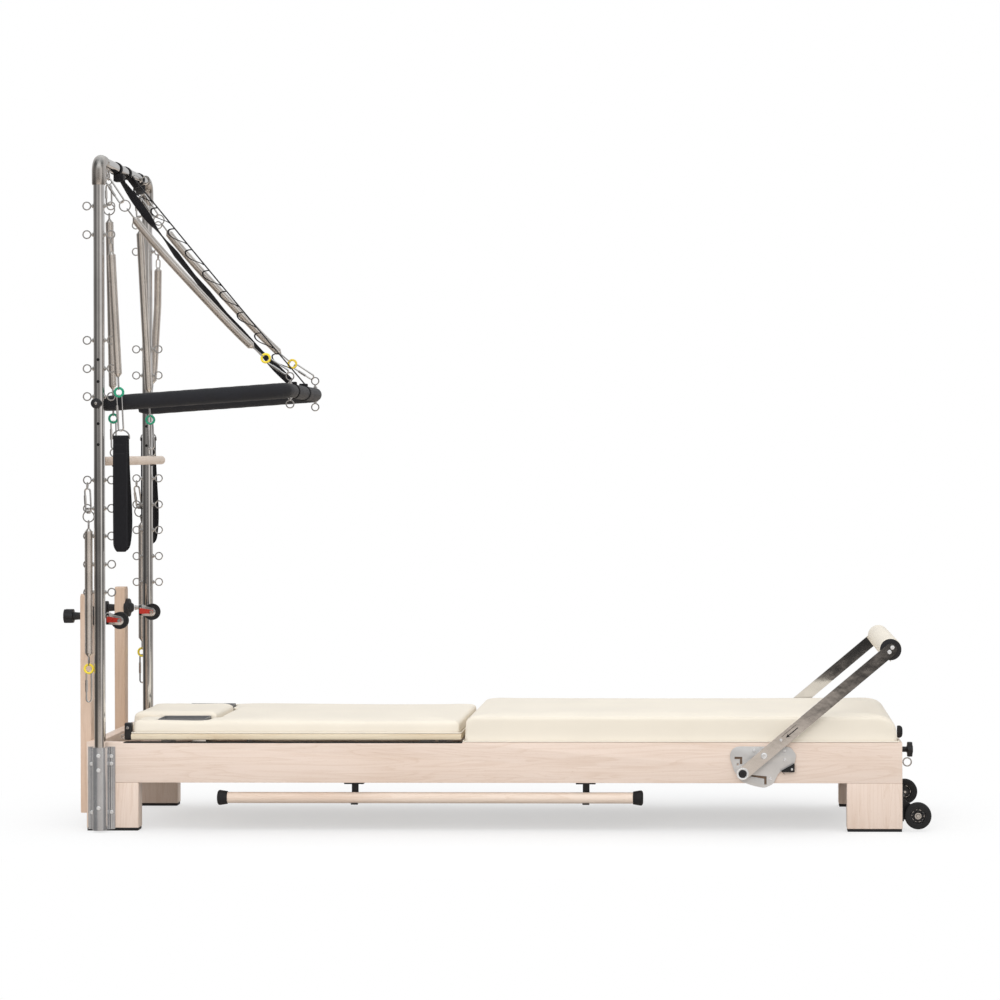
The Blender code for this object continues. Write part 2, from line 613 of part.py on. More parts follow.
def roll_down(mats):
    """Two arm springs that hang from the crossbar and hold a wooden dowel."""
    body("roll_down", (POST_X, 0, CROSSBAR_EYE_Z - RING_RADIUS))
    start, end = Vector(ROLL_DOWN_ENDS[0]), Vector(ROLL_DOWN_ENDS[1])
    along = (end - start).normalized()
    length = (end - start).length
    eyes = []
    for name, side in SIDES.items():
        fraction = 0.5 + side * 0.22 / length
        dowel_point = start.lerp(end, fraction)
        eye = dowel_point + Vector((0, 0, ROLL_DOWN_RADIUS + 0.0115))
        eyes.append(ring(eye, along))
        eyes.append(turned(dowel_point, (0, 0, 1), [(0, 0.003), (0.0135, 0.003)], 8))
        crossbar_eye = (POST_X, side * INNER_SPRING_Y, CROSSBAR_EYE_Z)
        link, link_bottom = linked(crossbar_eye, (0, 1, 0))
        top = Vector((POST_X, side * INNER_SPRING_Y, link_bottom))
        bottom = eye + Vector((0, 0, RING_RADIUS + RING_WIRE + 2 * GAP))
        node(f"arm_spring_inner_{name}", mats["steel"],
             hanging_spring([top, bottom], 0.13, 0.775, 0.885), on="roll_down", join=[link])
    profile = [(0, ROLL_DOWN_RADIUS - 0.004), (0.004, ROLL_DOWN_RADIUS),
               (length - 0.004, ROLL_DOWN_RADIUS), (length, ROLL_DOWN_RADIUS - 0.004)]
    node("roll_down_bar", mats["maple"], turned(start, along, profile, 14), on="roll_down", join=eyes)


def hand_strap(name, mats, on, centre, half_width, z_span, half_depth):
    """A long webbing loop: its opening is seen from the ends of the machine."""
    thickness = 0.003
    x, y = centre
    bend = half_depth
    outer = arc((y, z_span[1] - bend), half_depth, 0, 180, 6)
    outer += arc((y, z_span[0] + bend), half_depth, 180, 360, 6)
    inner_radius = half_depth - thickness
    inner = arc((y, z_span[1] - bend), inner_radius, 0, 180, 6)
    inner += arc((y, z_span[0] + bend), inner_radius, 180, 360, 6)
    shape = bmesh.new()
    loops = []
    for outline in (outer, inner):
        for edge in (x - half_width, x + half_width):
            loops.append([shape.verts.new((edge, u, v)) for u, v in outline])
    count = len(outer)
    for first, second in ((0, 1), (1, 3), (3, 2), (2, 0)):
        for i in range(count):
            j = (i + 1) % count
            shape.faces.new((loops[first][i], loops[first][j], loops[second][j], loops[second][i]))
    node(name, mats["webbing"], shape, on=on)


def arm_straps(mats):
    """Outer arm springs on the posts' eyebolts, each with a hand strap."""
    strap_x = {"near": -1.0995, "far": -1.170}
    strap_y = {"near": -0.365, "far": 0.408}
    routes = {"near": [],
              "far": [(-1.135, 0.388, 1.60), (-1.150, 0.402, 1.40)]}
    for name, side in SIDES.items():
        arm_body = f"arm_strap_{name}"
        eye = (POST_X + POST_RING_REACH, side * POST_Y, ARM_RING_Z)
        body(arm_body, eye)
        link, link_bottom = linked(eye, (1, 0, 0))
        top = (eye[0], eye[1], link_bottom)
        bottom = (strap_x[name], strap_y[name], 1.176)
        node(f"arm_spring_outer_{name}", mats["steel"],
             hanging_spring([top] + routes[name] + [bottom], 0.045, 0.715, 0.795), on=arm_body,
             join=[link])
        hand_strap(f"hand_strap_{name}", mats, arm_body, (strap_x[name], strap_y[name]),
                   0.0225, (0.829, 1.1755), 0.0085)


def leg_springs(mats):
    """Leg springs parked on the posts' head-side eyebolts, with snap hooks at the bottom."""
    routes = {"near": [(-1.1970, -0.365, 0.95), (-1.1970, -0.365, 0.385)],
              "far": [(-1.1920, 0.380, 0.93), (-1.1870, 0.386, 0.90), (-1.1870, 0.386, 0.385)]}
    for name, side in SIDES.items():
        spring_body = f"leg_spring_{name}"
        eye = (POST_X - POST_RING_REACH, side * POST_Y, LEG_RING_Z)
        body(spring_body, eye)
        link, link_bottom = linked(eye, (1, 0, 0))
        node(spring_body, mats["steel"],
             hanging_spring([(eye[0], eye[1], link_bottom)] + routes[name], 0.185, 0.79, 0.845),
             on=spring_body, join=[link])


def sagging(start, end, sag, steps):
    """Points from start to end that hang below the straight line by up to sag."""
    start, end = Vector(start), Vector(end)
    points = []
    for i in range(steps + 1):
        t = i / steps
        points.append(start.lerp(end, t) - Vector((0, 0, 4 * sag * t * (1 - t))))
    return points


def flat_strap(points, wide, half_width, thickness):
    """A flat band along points; wide is the direction of its width."""
    shape = bmesh.new()
    wide = Vector(wide)
    rings = []
    for i, centre in enumerate(points):
        before = points[max(i - 1, 0)]
        after = points[min(i + 1, len(points) - 1)]
        tangent = (after - before).normalized()
        across = (wide - tangent * wide.dot(tangent)).normalized()
        up = tangent.cross(across)
        corners = ((1, 1), (-1, 1), (-1, -1), (1, -1))
        rings.append([shape.verts.new(centre + across * a * half_width + up * b * thickness / 2)
                      for a, b in corners])
    for first, second in zip(rings, rings[1:]):
        for k in range(4):
            m = (k + 1) % 4
            shape.faces.new((first[k], first[m], second[m], second[k]))
    shape.faces.new(reversed(rings[0]))
    shape.faces.new(rings[-1])
    return shape


def diagonal_springs(mats):
    """Springs and safety straps from the crossbar to the push-through bar."""
    for name, side in SIDES.items():
        top = (POST_X + 0.008, side * DIAGONAL_SPRING_Y, CROSSBAR_EYE_Z - 0.018)
        bottom = (PTB_EYE_X - 0.012, side * PTB_EYE_Y, PTB_EYE_TOP + 0.012)
        node(f"bar_spring_{name}", mats["steel"],
             hanging_spring(sagging(top, bottom, 0.040, 10), 0.175, 0.84, 0.90))
    bar_top = PTB_BAR_Z + PTB_BAR_RADIUS + 0.006
    near_route = sagging((POST_X + 0.012, -0.120, CROSSBAR_Z - 0.029),
                         (PTB_BAR_X - 0.006, -0.190, bar_top), 0.030, 10)
    node("safety_strap_near", mats["webbing"], flat_strap(near_route, (1, 0, 1), 0.009, 0.003))
    centre_route = sagging((POST_X + 0.022, 0.020, CROSSBAR_Z - 0.010),
                           (PTB_BAR_X + 0.004, 0.040, bar_top), 0.004, 6)
    node("safety_strap_centre", mats["webbing"], flat_strap(centre_route, (0, 1, 0), 0.011, 0.004))


# ------------------------------------------------------------------ fittings
def foot_fittings(mats):
    body("foot_knob", (HALF_LENGTH, 0, 0.210))
    stem = turned((HALF_LENGTH + GAP, 0, 0.210), (1, 0, 0), [(0, 0.010), (0.036, 0.010)], 12)
    node("foot_knob", mats["plastic"], star_knob((1.244, 1.261), 0, 0.210, 0.0245), on="foot_knob",
         join=[stem])
    x, z = TRANSPORT_WHEEL
    wheel_y = sum(TRANSPORT_WHEEL_Y) / 2
    half = (TRANSPORT_WHEEL_Y[1] - TRANSPORT_WHEEL_Y[0]) / 2
    for name, side in SIDES.items():
        plate = side_box(side, (HALF_LENGTH + GAP, HALF_LENGTH + 0.0043), (0.288, 0.332),
                         (0.030, 0.118))
        arm = side_box(side, (HALF_LENGTH + 0.002, x + 0.012), (0.298, 0.303), (z - 0.010, z + 0.040))
        axle = turned((x, side * 0.301, z), (0, side, 0), [(0, 0.004), (0.0335, 0.004)], 12)
        node(f"wheel_bracket_{name}", mats["plastic"], plate, join=[arm, axle])
        wheel_body = f"transport_wheel_{name}"
        centre = (x, side * wheel_y, z)
        body(wheel_body, centre)
        r = TRANSPORT_WHEEL_RADIUS
        profile = [(-half, 0.0044), (-half, r - 0.004), (-half + 0.004, r), (half - 0.004, r),
                   (half, r - 0.004), (half, 0.0044)]
        node(wheel_body, mats["rubber"], bored_wheel(centre, profile, 24), on=wheel_body)


def exercise_pole(mats):
    """A wooden pole that lies in two hooks under the near rail."""
    body("exercise_pole", (0, -POLE_Y, POLE_Z))
    length = POLE_X[1] - POLE_X[0]
    profile = [(0, POLE_CAP_RADIUS - 0.003), (0.003, POLE_CAP_RADIUS), (0.030, POLE_CAP_RADIUS),
               (0.0301, POLE_RADIUS), (length - 0.0301, POLE_RADIUS), (length - 0.030, POLE_CAP_RADIUS),
               (length - 0.003, POLE_CAP_RADIUS), (length, POLE_CAP_RADIUS - 0.003)]
    node("exercise_pole", mats["maple"],
         turned((POLE_X[0], -POLE_Y, POLE_Z), (1, 0, 0), profile, 16), on="exercise_pole")
    inner, outer = POLE_RADIUS + 0.0008, POLE_RADIUS + 0.0045
    top = RAIL_BOTTOM - 0.004
    hook = [(-POLE_Y + outer, top)] + arc((-POLE_Y, POLE_Z), outer, 0, -118, 9)
    hook += arc((-POLE_Y, POLE_Z), inner, -118, 0, 9) + [(-POLE_Y + inner, top)]
    for end, x in zip(("head", "foot"), POLE_HOOKS_X):
        strip = prism(hook, (x - 0.010, x + 0.010), lambda u, v, w: (w, u, v))
        plate = box((x - 0.029, -0.335, top - 0.0005), (x + 0.029, -0.292, RAIL_BOTTOM - GAP))
        node(f"pole_hook_{end}", mats["plastic"], plate, join=[strip])


def main():
    clear_scene()
    mats = make_materials()
    frame(mats)
    corner_brackets(mats)
    tower(mats)
    risers(mats)
    carriage(mats)
    mat_insert(mats)
    footbar(mats)
    push_through_bar(mats)
    roll_down(mats)
    arm_straps(mats)
    leg_springs(mats)
    diagonal_springs(mats)
    foot_fittings(mats)
    exercise_pole(mats)


main()
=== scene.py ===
"""Looks of a pilates reformer with a half tower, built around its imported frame.

Metres, +Z up, in the frame of the CAD model: +X runs to the foot end, the tower stands at the
-X (head) end, and the near side is -Y. side = -1 is the near piece of a pair, +1 the far one.
"""
from math import atan2, cos, degrees, pi, radians, sin, sqrt

import bmesh
import bpy
import numpy as np
from mathutils import Matrix, Vector
from mathutils.bvhtree import BVHTree


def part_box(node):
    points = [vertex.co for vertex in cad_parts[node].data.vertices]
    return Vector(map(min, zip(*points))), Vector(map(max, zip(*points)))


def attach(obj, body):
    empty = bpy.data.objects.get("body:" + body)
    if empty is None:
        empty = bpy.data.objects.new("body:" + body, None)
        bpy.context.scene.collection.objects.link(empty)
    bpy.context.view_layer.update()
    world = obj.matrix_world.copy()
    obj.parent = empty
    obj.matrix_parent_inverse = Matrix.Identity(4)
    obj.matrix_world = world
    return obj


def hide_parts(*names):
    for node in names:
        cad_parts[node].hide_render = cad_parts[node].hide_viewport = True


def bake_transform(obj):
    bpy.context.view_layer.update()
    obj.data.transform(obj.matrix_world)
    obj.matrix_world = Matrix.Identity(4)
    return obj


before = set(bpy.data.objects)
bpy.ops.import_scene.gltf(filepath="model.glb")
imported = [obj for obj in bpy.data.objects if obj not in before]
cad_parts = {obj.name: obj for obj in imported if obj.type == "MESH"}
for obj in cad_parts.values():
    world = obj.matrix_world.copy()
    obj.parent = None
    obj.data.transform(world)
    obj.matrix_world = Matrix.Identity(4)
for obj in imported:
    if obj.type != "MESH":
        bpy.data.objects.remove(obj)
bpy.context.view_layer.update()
SIDES = {"near": -1, "far": 1}
ENDS = ("head", "foot")

# ------------------------------------------------------------------ places of the CAD model
HALF_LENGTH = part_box("rail_near")[1].x
HALF_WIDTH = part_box("rail_far")[1].y
RAIL_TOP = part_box("rail_far")[1].z
RAIL_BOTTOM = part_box("rail_far")[0].z
POST_X, POST_Y, POST_RADIUS = -1.1644, 0.365, 0.0165
POST_SPAN = (0.0203, 1.9197)
CROSSBAR_Z, CROSSBAR_RADIUS, SLEEVE_RADIUS = 1.9915, 0.0175, 0.0205
EYE_RADIUS, EYE_WIRE, EYE_REACH = 0.0115, 0.002, 0.036
LINK_RADIUS, LINK_WIRE = 0.009, 0.0018
ARM_EYE_Z, LEG_EYE_Z, CROSSBAR_EYE_Z = 1.772, 1.043, 1.9585
INNER_SPRING_Y, BAR_SPRING_Y = 0.224, 0.266
PTB_PIVOT_Z, PTB_ARM_Y = 1.270, 0.320  # PTB is the push-through bar
PTB_BAR, PTB_BAR_RADIUS = Vector((-0.613, 0, 1.308)), 0.0215
PTB_EYE_X, PTB_EYE_Y, PTB_EYE_TOP, PTB_EYE_BOTTOM = -0.609, 0.272, 1.351, 1.268
RISER_Y, PULLEY_Z = 0.2485, 0.6335
AXLE_Z, AXLES_X = 0.2198, {"head": -0.98, "foot": -0.20}
FOOTBAR_PIVOT = Vector((0.740, 0, 0.1736))
FOOTBAR_ROLLER = Vector((1.176, 0, 0.538))
FOOTBAR_ARM_Y = (0.3605, 0.3685)
GAP = 0.0003  # keeps a piece's back clear of the face that it lies on

X, Y, Z = Vector((1, 0, 0)), Vector((0, 1, 0)), Vector((0, 0, 1))


# ------------------------------------------------------------------ material helpers
def add(tree, kind, inputs=None, **props):
    """A new node, with its settings, and its inputs given as values or as linked outputs."""
    made = tree.nodes.new(kind)
    for key, value in props.items():
        setattr(made, key, value)
    colours = kind == "ShaderNodeMix"
    for key, value in (inputs or {}).items():
        wanted = made.inputs[key]
        if colours and key in ("A", "B"):
            wanted = [i for i in made.inputs if i.name == key and i.type == "RGBA"][0]
        if isinstance(value, bpy.types.NodeSocket):
            tree.links.new(value, wanted)
        else:
            wanted.default_value = value
    return made


def maths(tree, kind, *values):
    return add(tree, "ShaderNodeMath", dict(enumerate(values)), operation=kind).outputs[0]


def vectors(tree, kind, *values, **named):
    inputs = {**dict(enumerate(values)), **named}
    return add(tree, "ShaderNodeVectorMath", inputs, operation=kind).outputs


def noise(tree, vector, scale, detail=3.0, distortion=0.0):
    inputs = {"Vector": vector, "Scale": scale, "Detail": detail, "Distortion": distortion}
    return add(tree, "ShaderNodeTexNoise", inputs).outputs["Fac"]


def ramp(tree, value, stops):
    """A colour ramp with (place, grey) or (place, (r, g, b)) stops."""
    made = add(tree, "ShaderNodeValToRGB", {"Fac": value})
    elements = made.color_ramp.elements
    while len(elements) < len(stops):
        elements.new(1.0)
    for element, (place, colour) in zip(elements, stops):
        rgb = colour if hasattr(colour, "__len__") else (colour,) * 3
        element.position = place
        element.color = (*rgb, 1.0)
    return made.outputs["Color"]


def mix(tree, factor, first, second, kind="MIX"):
    made = add(tree, "ShaderNodeMix", {"Factor": factor, "A": first, "B": second},
               data_type="RGBA", blend_type=kind)
    return [o for o in made.outputs if o.type == "RGBA"][0]


def link(tree, value, shader, name):
    tree.links.new(value, shader.inputs[name])


def new_material(name, roughness, metallic=0.0, **extra):
    made = bpy.data.materials.new(name)
    made.use_nodes = True
    shader = made.node_tree.nodes["Principled BSDF"]
    for key, value in {"Roughness": roughness, "Metallic": metallic, **extra}.items():
        shader.inputs[key.replace("_", " ")].default_value = value
    return made, made.node_tree, shader


def place_texture(tree, scale=(1, 1, 1), tilt=0.0):
    """Coordinates fixed to the piece, stretched by scale and turned about Y by tilt."""
    coords = add(tree, "ShaderNodeTexCoord").outputs["Object"]
    inputs = {"Vector": coords, "Scale": scale, "Rotation": (0, tilt, 0)}
    return add(tree, "ShaderNodeMapping", inputs).outputs["Vector"]


def bump(tree, shader, height, distance, strength=1.0, before=None):
    inputs = {"Height": height, "Distance": distance, "Strength": strength}
    if before:
        inputs["Normal"] = before
    normal = add(tree, "ShaderNodeBump", inputs).outputs["Normal"]
    link(tree, normal, shader, "Normal")
    return normal


def vary_roughness(tree, shader, value, low, high):
    link(tree, ramp(tree, value, [(0.3, low), (0.7, high)]), shader, "Roughness")


# ------------------------------------------------------------------ materials
WHITE = (1, 1, 1)


def floor_paint():
    """A white floor. Camera rays see it mixed with a painted white glow, about half near the machine
    and whole further off. The glow lightens the shadows near the machine and blends the floor into the
    white surround. Other rays see a darker floor, as painted shade under the machine.
    """
    made, tree, shader = new_material("floor_paint", 0.85)
    place = place_texture(tree)
    tone = noise(tree, place, 0.6)
    colour = ramp(tree, tone, [(0.3, (0.86, 0.87, 0.88)), (0.7, (0.88, 0.88, 0.88))])
    seen = add(tree, "ShaderNodeLightPath").outputs["Is Camera Ray"]
    # Painted shade: rays other than the camera's see a darker floor, so less light bounces up under the
    # machine.
    link(tree, mix(tree, seen, (0.50, 0.49, 0.48, 1), colour), shader, "Base Color")
    squashed = vectors(tree, "MULTIPLY", place, (0.42, 0.60, 0.0))[0]
    distance = vectors(tree, "LENGTH", squashed)["Value"]
    # Painted glow: a white emission that only camera rays see, about half of the floor near the machine
    # and all of it further off.
    glow_by_distance = ramp(tree, distance, [(0.42, 0.52), (0.80, 1.0)])
    glow = add(tree, "ShaderNodeEmission", {"Color": (*WHITE, 1), "Strength": 1.0})
    painted_glow_share = mix(tree, seen, (0, 0, 0, 1), glow_by_distance)
    both = add(tree, "ShaderNodeMixShader", {"Fac": painted_glow_share, 1: shader.outputs[0], 2: glow.outputs[0]})
    link(tree, both.outputs[0], tree.nodes["Material Output"], "Surface")
    return made


def maple(name, grain, light=(0.83, 0.685, 0.590), dark=(0.765, 0.605, 0.500), seed=0.0):
    """Pale lacquered maple. grain is the axis that its fibres run along: 0, 1 or 2."""
    made, tree, shader = new_material(name, 0.42, Coat_Weight=0.18, Coat_Roughness=0.25)

    def stretched(along, across):
        scale = [across] * 3
        scale[grain] = along
        return vectors(tree, "ADD", place_texture(tree, scale), (seed, seed * 1.7, seed * 0.6))[0]

    figure = noise(tree, stretched(0.75, 8.0), 1.6, 3.0, 0.6)
    slow = noise(tree, stretched(1.3, 5.0), 1.0, 2.0)
    lines = noise(tree, stretched(2.5, 90.0), 2.0, 4.0, 0.4)
    fibres = noise(tree, stretched(14.0, 700.0), 1.5, 2.0)
    flecks = noise(tree, stretched(30.0, 260.0), 2.6, 1.0)
    colour = ramp(tree, slow, [(0.32, dark), (0.50, light), (1.0, light)])
    rings = maths(tree, "FRACT", maths(tree, "MULTIPLY", figure, 13.0))
    late, early = (0.90, 0.86, 0.82), (0.93, 0.90, 0.87)
    year = ramp(tree, rings, [(0.0, late), (0.10, early), (0.34, WHITE), (0.93, WHITE), (1.0, late)])
    colour = mix(tree, 0.60, colour, year, "MULTIPLY")
    streaks = ramp(tree, lines, [(0.35, early), (0.55, WHITE)])
    colour = mix(tree, 0.60, colour, streaks, "MULTIPLY")
    specks = ramp(tree, flecks, [(0.26, (0.80, 0.72, 0.64)), (0.34, WHITE)])
    colour = mix(tree, 0.45, colour, specks, "MULTIPLY")
    link(tree, colour, shader, "Base Color")
    vary_roughness(tree, shader, figure, 0.36, 0.48)
    bump(tree, shader, fibres, 0.00012, 0.5)
    return made


def vinyl(name, colour):
    """Upholstery vinyl with a fine leather grain and slow, soft unevenness."""
    made, tree, shader = new_material(name, 0.5, Coat_Weight=0.08, Coat_Roughness=0.4,
                                      Sheen_Weight=0.05)
    place = place_texture(tree)
    cells = add(tree, "ShaderNodeTexVoronoi", {"Vector": place, "Scale": 750.0}, feature="SMOOTH_F1")
    pores = noise(tree, place, 1500.0, 2.0)
    slow = noise(tree, place, 7.0, 3.0)
    shade = ramp(tree, slow, [(0.3, tuple(c * 0.965 for c in colour)), (0.7, colour)])
    link(tree, shade, shader, "Base Color")
    vary_roughness(tree, shader, slow, 0.44, 0.56)
    folds = bump(tree, shader, slow, 0.0015, 0.35)
    grain = bump(tree, shader, cells.outputs["Distance"], 0.0003, 0.5, folds)
    bump(tree, shader, pores, 0.0001, 0.35, grain)
    return made


def metal(name, colour, roughness, spread, scale, depth, stretch=(1, 1, 1), metallic=1.0):
    """A metal with fine lines: stretch is small along the lines and 1 across them."""
    made, tree, shader = new_material(name, roughness, metallic)
    lines = noise(tree, place_texture(tree, stretch), scale)
    smudges = noise(tree, place_texture(tree), 14.0, 4.0)
    darker = tuple(c * 0.88 for c in colour)
    link(tree, ramp(tree, smudges, [(0.35, darker), (0.6, colour)]), shader, "Base Color")
    both = mix(tree, 0.5, lines, smudges)
    vary_roughness(tree, shader, both, roughness - spread, roughness + spread)
    bump(tree, shader, lines, depth, 0.4)
    return made


def dull(name, colour, roughness, scale, depth, spread=0.08, **extra):
    """Rubber, moulded plastic, paint or foam: one colour with a fine surface."""
    made, tree, shader = new_material(name, roughness, **extra)
    fine = noise(tree, place_texture(tree), scale)
    slow = noise(tree, place_texture(tree), scale / 40, 2.0)
    brighter = tuple(min(c * 1.35, 1.0) for c in colour)
    link(tree, ramp(tree, slow, [(0.3, colour), (0.75, brighter)]), shader, "Base Color")
    vary_roughness(tree, shader, slow, roughness - spread, roughness + spread)
    bump(tree, shader, fine, depth, 0.5)
    return made


def webbing(name, tilt):
    """Woven webbing whose length is turned by tilt from the vertical, about Y."""
    made, tree, shader = new_material(name, 0.8, Sheen_Weight=0.06)
    place = place_texture(tree, tilt=tilt)
    ribs, warps = (add(tree, "ShaderNodeTexWave", {"Vector": place, "Scale": scale},
                       bands_direction=way).outputs["Fac"]
                   for scale, way in ((110.0, "Z"), (160.0, "X")))
    threads = mix(tree, 0.5, ribs, warps, "MULTIPLY")
    fuzz = noise(tree, place, 900.0, 2.0)
    colour = ramp(tree, threads, [(0.2, (0.004, 0.004, 0.006)), (0.9, (0.013, 0.013, 0.018))])
    link(tree, colour, shader, "Base Color")
    weave = bump(tree, shader, threads, 0.0006, 0.8)
    bump(tree, shader, fuzz, 0.0002, 0.5, weave)
    return made


STEEL = (0.80, 0.79, 0.78)
# The record's material slot of each finish, and the finish.
FINISHES = {
    "maple": {
        "maple_x": maple("maple_lengthways", 0),
        "maple_x_far": maple("maple_lengthways_far", 0, seed=3.1),
        "maple_y": maple("maple_crossways", 1, seed=5.3),
        "maple_z": maple("maple_upright", 2, seed=1.9),
        # A darker, more orange maple for the risers: partly their own tone, partly painted shade of
        # their place behind the posts.
        "maple_riser_with_painted_shade": maple("maple_riser_with_painted_shade", 2, (0.72, 0.545, 0.425), (0.62, 0.445, 0.325), 7.7),
        "plywood": maple("plywood", 0, (0.85, 0.74, 0.56), (0.76, 0.62, 0.43), 4.4),
        "dowel": maple("dowel", 0, (0.86, 0.72, 0.61), (0.76, 0.60, 0.49), 9.2),
        "slot": dull("slot_shadow", (0.17, 0.115, 0.08), 0.8, 500.0, 0.00005, 0.05),
    },
    "cream_vinyl": {
        "vinyl": vinyl("cream_vinyl", (0.845, 0.775, 0.660)),
        "welt": vinyl("cream_welt", (0.85, 0.785, 0.68)),
    },
    "polished_steel": {
        "steel": metal("polished_steel", STEEL, 0.085, 0.03, 300.0, 0.00001, (1, 1, 0.02)),
        "flat_steel": metal("polished_flat_bar", STEEL, 0.055, 0.03, 14.0, 0.00045),
        "elbow": metal("elbow_steel", (0.66, 0.63, 0.60), 0.26, 0.06, 200.0, 0.00003),
        "clip": metal("clip_steel", (0.76, 0.75, 0.74), 0.18, 0.06, 300.0, 0.00002),
        # Painted highlight: a pale, half-diffuse metal, so that screw heads and washers look white as
        # their glints do.
        "painted_highlight": metal("fasteners_with_painted_highlight", (0.93,) * 3, 0.22, 0.05, 300.0, 0.00002, metallic=0.5),
    },
    "spring_steel": {
        "wire": metal("spring_wire", (0.92, 0.872, 0.828), 0.15, 0.04, 400.0, 0.00002),
    },
    "satin_aluminium": {
        "aluminium": metal("satin_aluminium", (0.66, 0.675, 0.70), 0.24, 0.04, 250.0, 0.00001,
                           (1, 1, 0.02), 0.78),
        "plate": metal("bead_blasted_plate", (0.72, 0.71, 0.70), 0.34, 0.07, 600.0, 0.00002,
                       metallic=0.45),
        "pocket": metal("pocket_plate", (0.225, 0.225, 0.230), 0.5, 0.06, 500.0, 0.00003,
                        (1, 0.05, 1), 0.3),
        "groove": dull("groove_shadow", (0.050, 0.052, 0.056), 0.6, 500.0, 0.00005, 0.05),
    },
    "black_rubber": {"rubber": dull("black_rubber", (0.012, 0.012, 0.013), 0.72, 900.0, 0.0002)},
    "black_plastic": {
        "plastic": dull("black_plastic", (0.014, 0.014, 0.016), 0.38, 700.0, 0.00006),
        # Black for the lock holes' shaded insides, as painted shade, and for the marks engraved on the
        # footbar arms.
        "hole": dull("black_for_hole_shade_and_marks", (0.006, 0.006, 0.006), 0.9, 500.0, 0.00005, 0.05),
    },
    "grey_grip": {
        "grip": dull("dark_grip_sleeve", (0.011, 0.0115, 0.0150), 0.7, 1100.0, 0.0002,
                     Sheen_Weight=0.08),
        "end_grip": dull("grey_grip_bar", (0.030, 0.031, 0.036), 0.62, 900.0, 0.0003),
    },
    "red_paint": {"red": dull("red_paint", (0.42, 0.022, 0.012), 0.32, 500.0, 0.00003,
                              Coat_Weight=0.3)},
    "green_plastic": {"green": dull("green_ring", (0.015, 0.27, 0.15), 0.36, 500.0, 0.00004, 0.05)},
    "yellow_plastic": {"yellow": dull("yellow_ring", (0.83, 0.60, 0.045), 0.36, 500.0, 0.00004, 0.05)},
    "black_webbing": {
        "webbing": webbing("black_webbing", 0.0),
        "webbing_slant": webbing("black_webbing_slant", radians(-40)),
        "thread": dull("strap_thread", (0.035, 0.035, 0.040), 0.7, 900.0, 0.0001),
    },
}
PAINT = {finish: paint for group in FINISHES.values() for finish, paint in group.items()}


# ------------------------------------------------------------------ shape helpers
class Shape:
    """The vertices and faces of one piece."""

    def __init__(self):
        self.verts = []
        self.faces = []

    def add(self, verts, faces):
        base = len(self.verts)
        self.verts += verts
        self.faces += [tuple(base + i for i in face) for face in faces]

    def take(self, builder, point=None):
        """Add a bmesh, and free it. point moves each of its vertices."""
        builder.verts.index_update()
        verts = [point(v.co) if point else v.co.copy() for v in builder.verts]
        self.add(verts, [[v.index for v in face.verts] for face in builder.faces])
        builder.free()


def make(name, shape, finish, on, replaces=None, smooth=35):
    """Turn a shape into a piece that rides on a body, and stands for a CAD node."""
    mesh = bpy.data.meshes.new(name)
    mesh.from_pydata(shape.verts, [], shape.faces)
    builder = bmesh.new()
    builder.from_mesh(mesh)
    bmesh.ops.recalc_face_normals(builder, faces=builder.faces)
    builder.to_mesh(mesh)
    builder.free()
    mesh.shade_smooth()
    mesh.set_sharp_from_angle(angle=radians(smooth))
    mesh.materials.append(PAINT[finish])
    piece = bpy.data.objects.new(name, mesh)
    bpy.context.collection.objects.link(piece)
    if replaces:
        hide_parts(replaces)
    if on:
        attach(piece, on)
    return piece


def repaint(node, finish):
    """A better material on a CAD node that stays."""
    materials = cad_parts[node].data.materials
    materials.clear()
    materials.append(PAINT[finish])


def circle(sides):
    angles = [2 * pi * (k + 0.5) / sides for k in range(sides)]
    return [(cos(a), sin(a)) for a in angles]


def square_to(direction, normal=None):
    """Two directions square to a direction and to each other, the first nearest to normal."""
    if normal is None:
        normal = Y if abs(direction.y) < 0.9 else X
    normal = (normal - direction * normal.dot(direction)).normalized()
    return normal, direction.cross(normal)


def skin(rings, size, closed=False):
    """The faces between rings of size points. An open tube has a cap at each end."""
    faces = []
    for i in range(rings if closed else rings - 1):
        first, second = i * size, (i + 1) % rings * size
        faces += [(first + k, first + (k + 1) % size, second + (k + 1) % size, second + k)
                  for k in range(size)]
    if not closed:
        faces += [tuple(reversed(range(size))), tuple(range((rings - 1) * size, rings * size))]
    return faces


def sweep(shape, points, radii, sides=8, closed=False, guide=None, section=None, twist=None):
    """A bar along a path. section gives its (guide side, other side) outline, in radii, and
    twist turns it at each point, in degrees."""
    points = [Vector(p) for p in points]
    count = len(points)
    radii = radii if hasattr(radii, "__len__") else [radii] * count
    section = section or circle(sides)
    normal = Vector(guide) if guide else None
    verts = []
    for i, centre in enumerate(points):
        after = points[(i + 1) % count] if closed else points[min(i + 1, count - 1)]
        before = points[i - 1] if closed else points[max(i - 1, 0)]
        normal, other = square_to((after - before).normalized(), normal)
        turn = radians(twist[i]) if twist else 0.0
        wide, thin = normal * cos(turn) + other * sin(turn), other * cos(turn) - normal * sin(turn)
        verts += [centre + (wide * u + thin * v) * radii[i] for u, v in section]
    shape.add(verts, skin(count, len(section), closed))


def lathe(shape, start, direction, profile, sides=20):
    """A turned piece: profile is (distance along direction, radius) pairs."""
    start, direction = Vector(start), Vector(direction).normalized()
    normal, other = square_to(direction)
    verts = [start + direction * distance + (normal * u + other * v) * radius
             for distance, radius in profile for u, v in circle(sides)]
    shape.add(verts, skin(len(profile), sides))


def rod(shape, start, direction, radius, length, sides):
    lathe(shape, start, direction, [(0, radius), (length, radius)], sides)


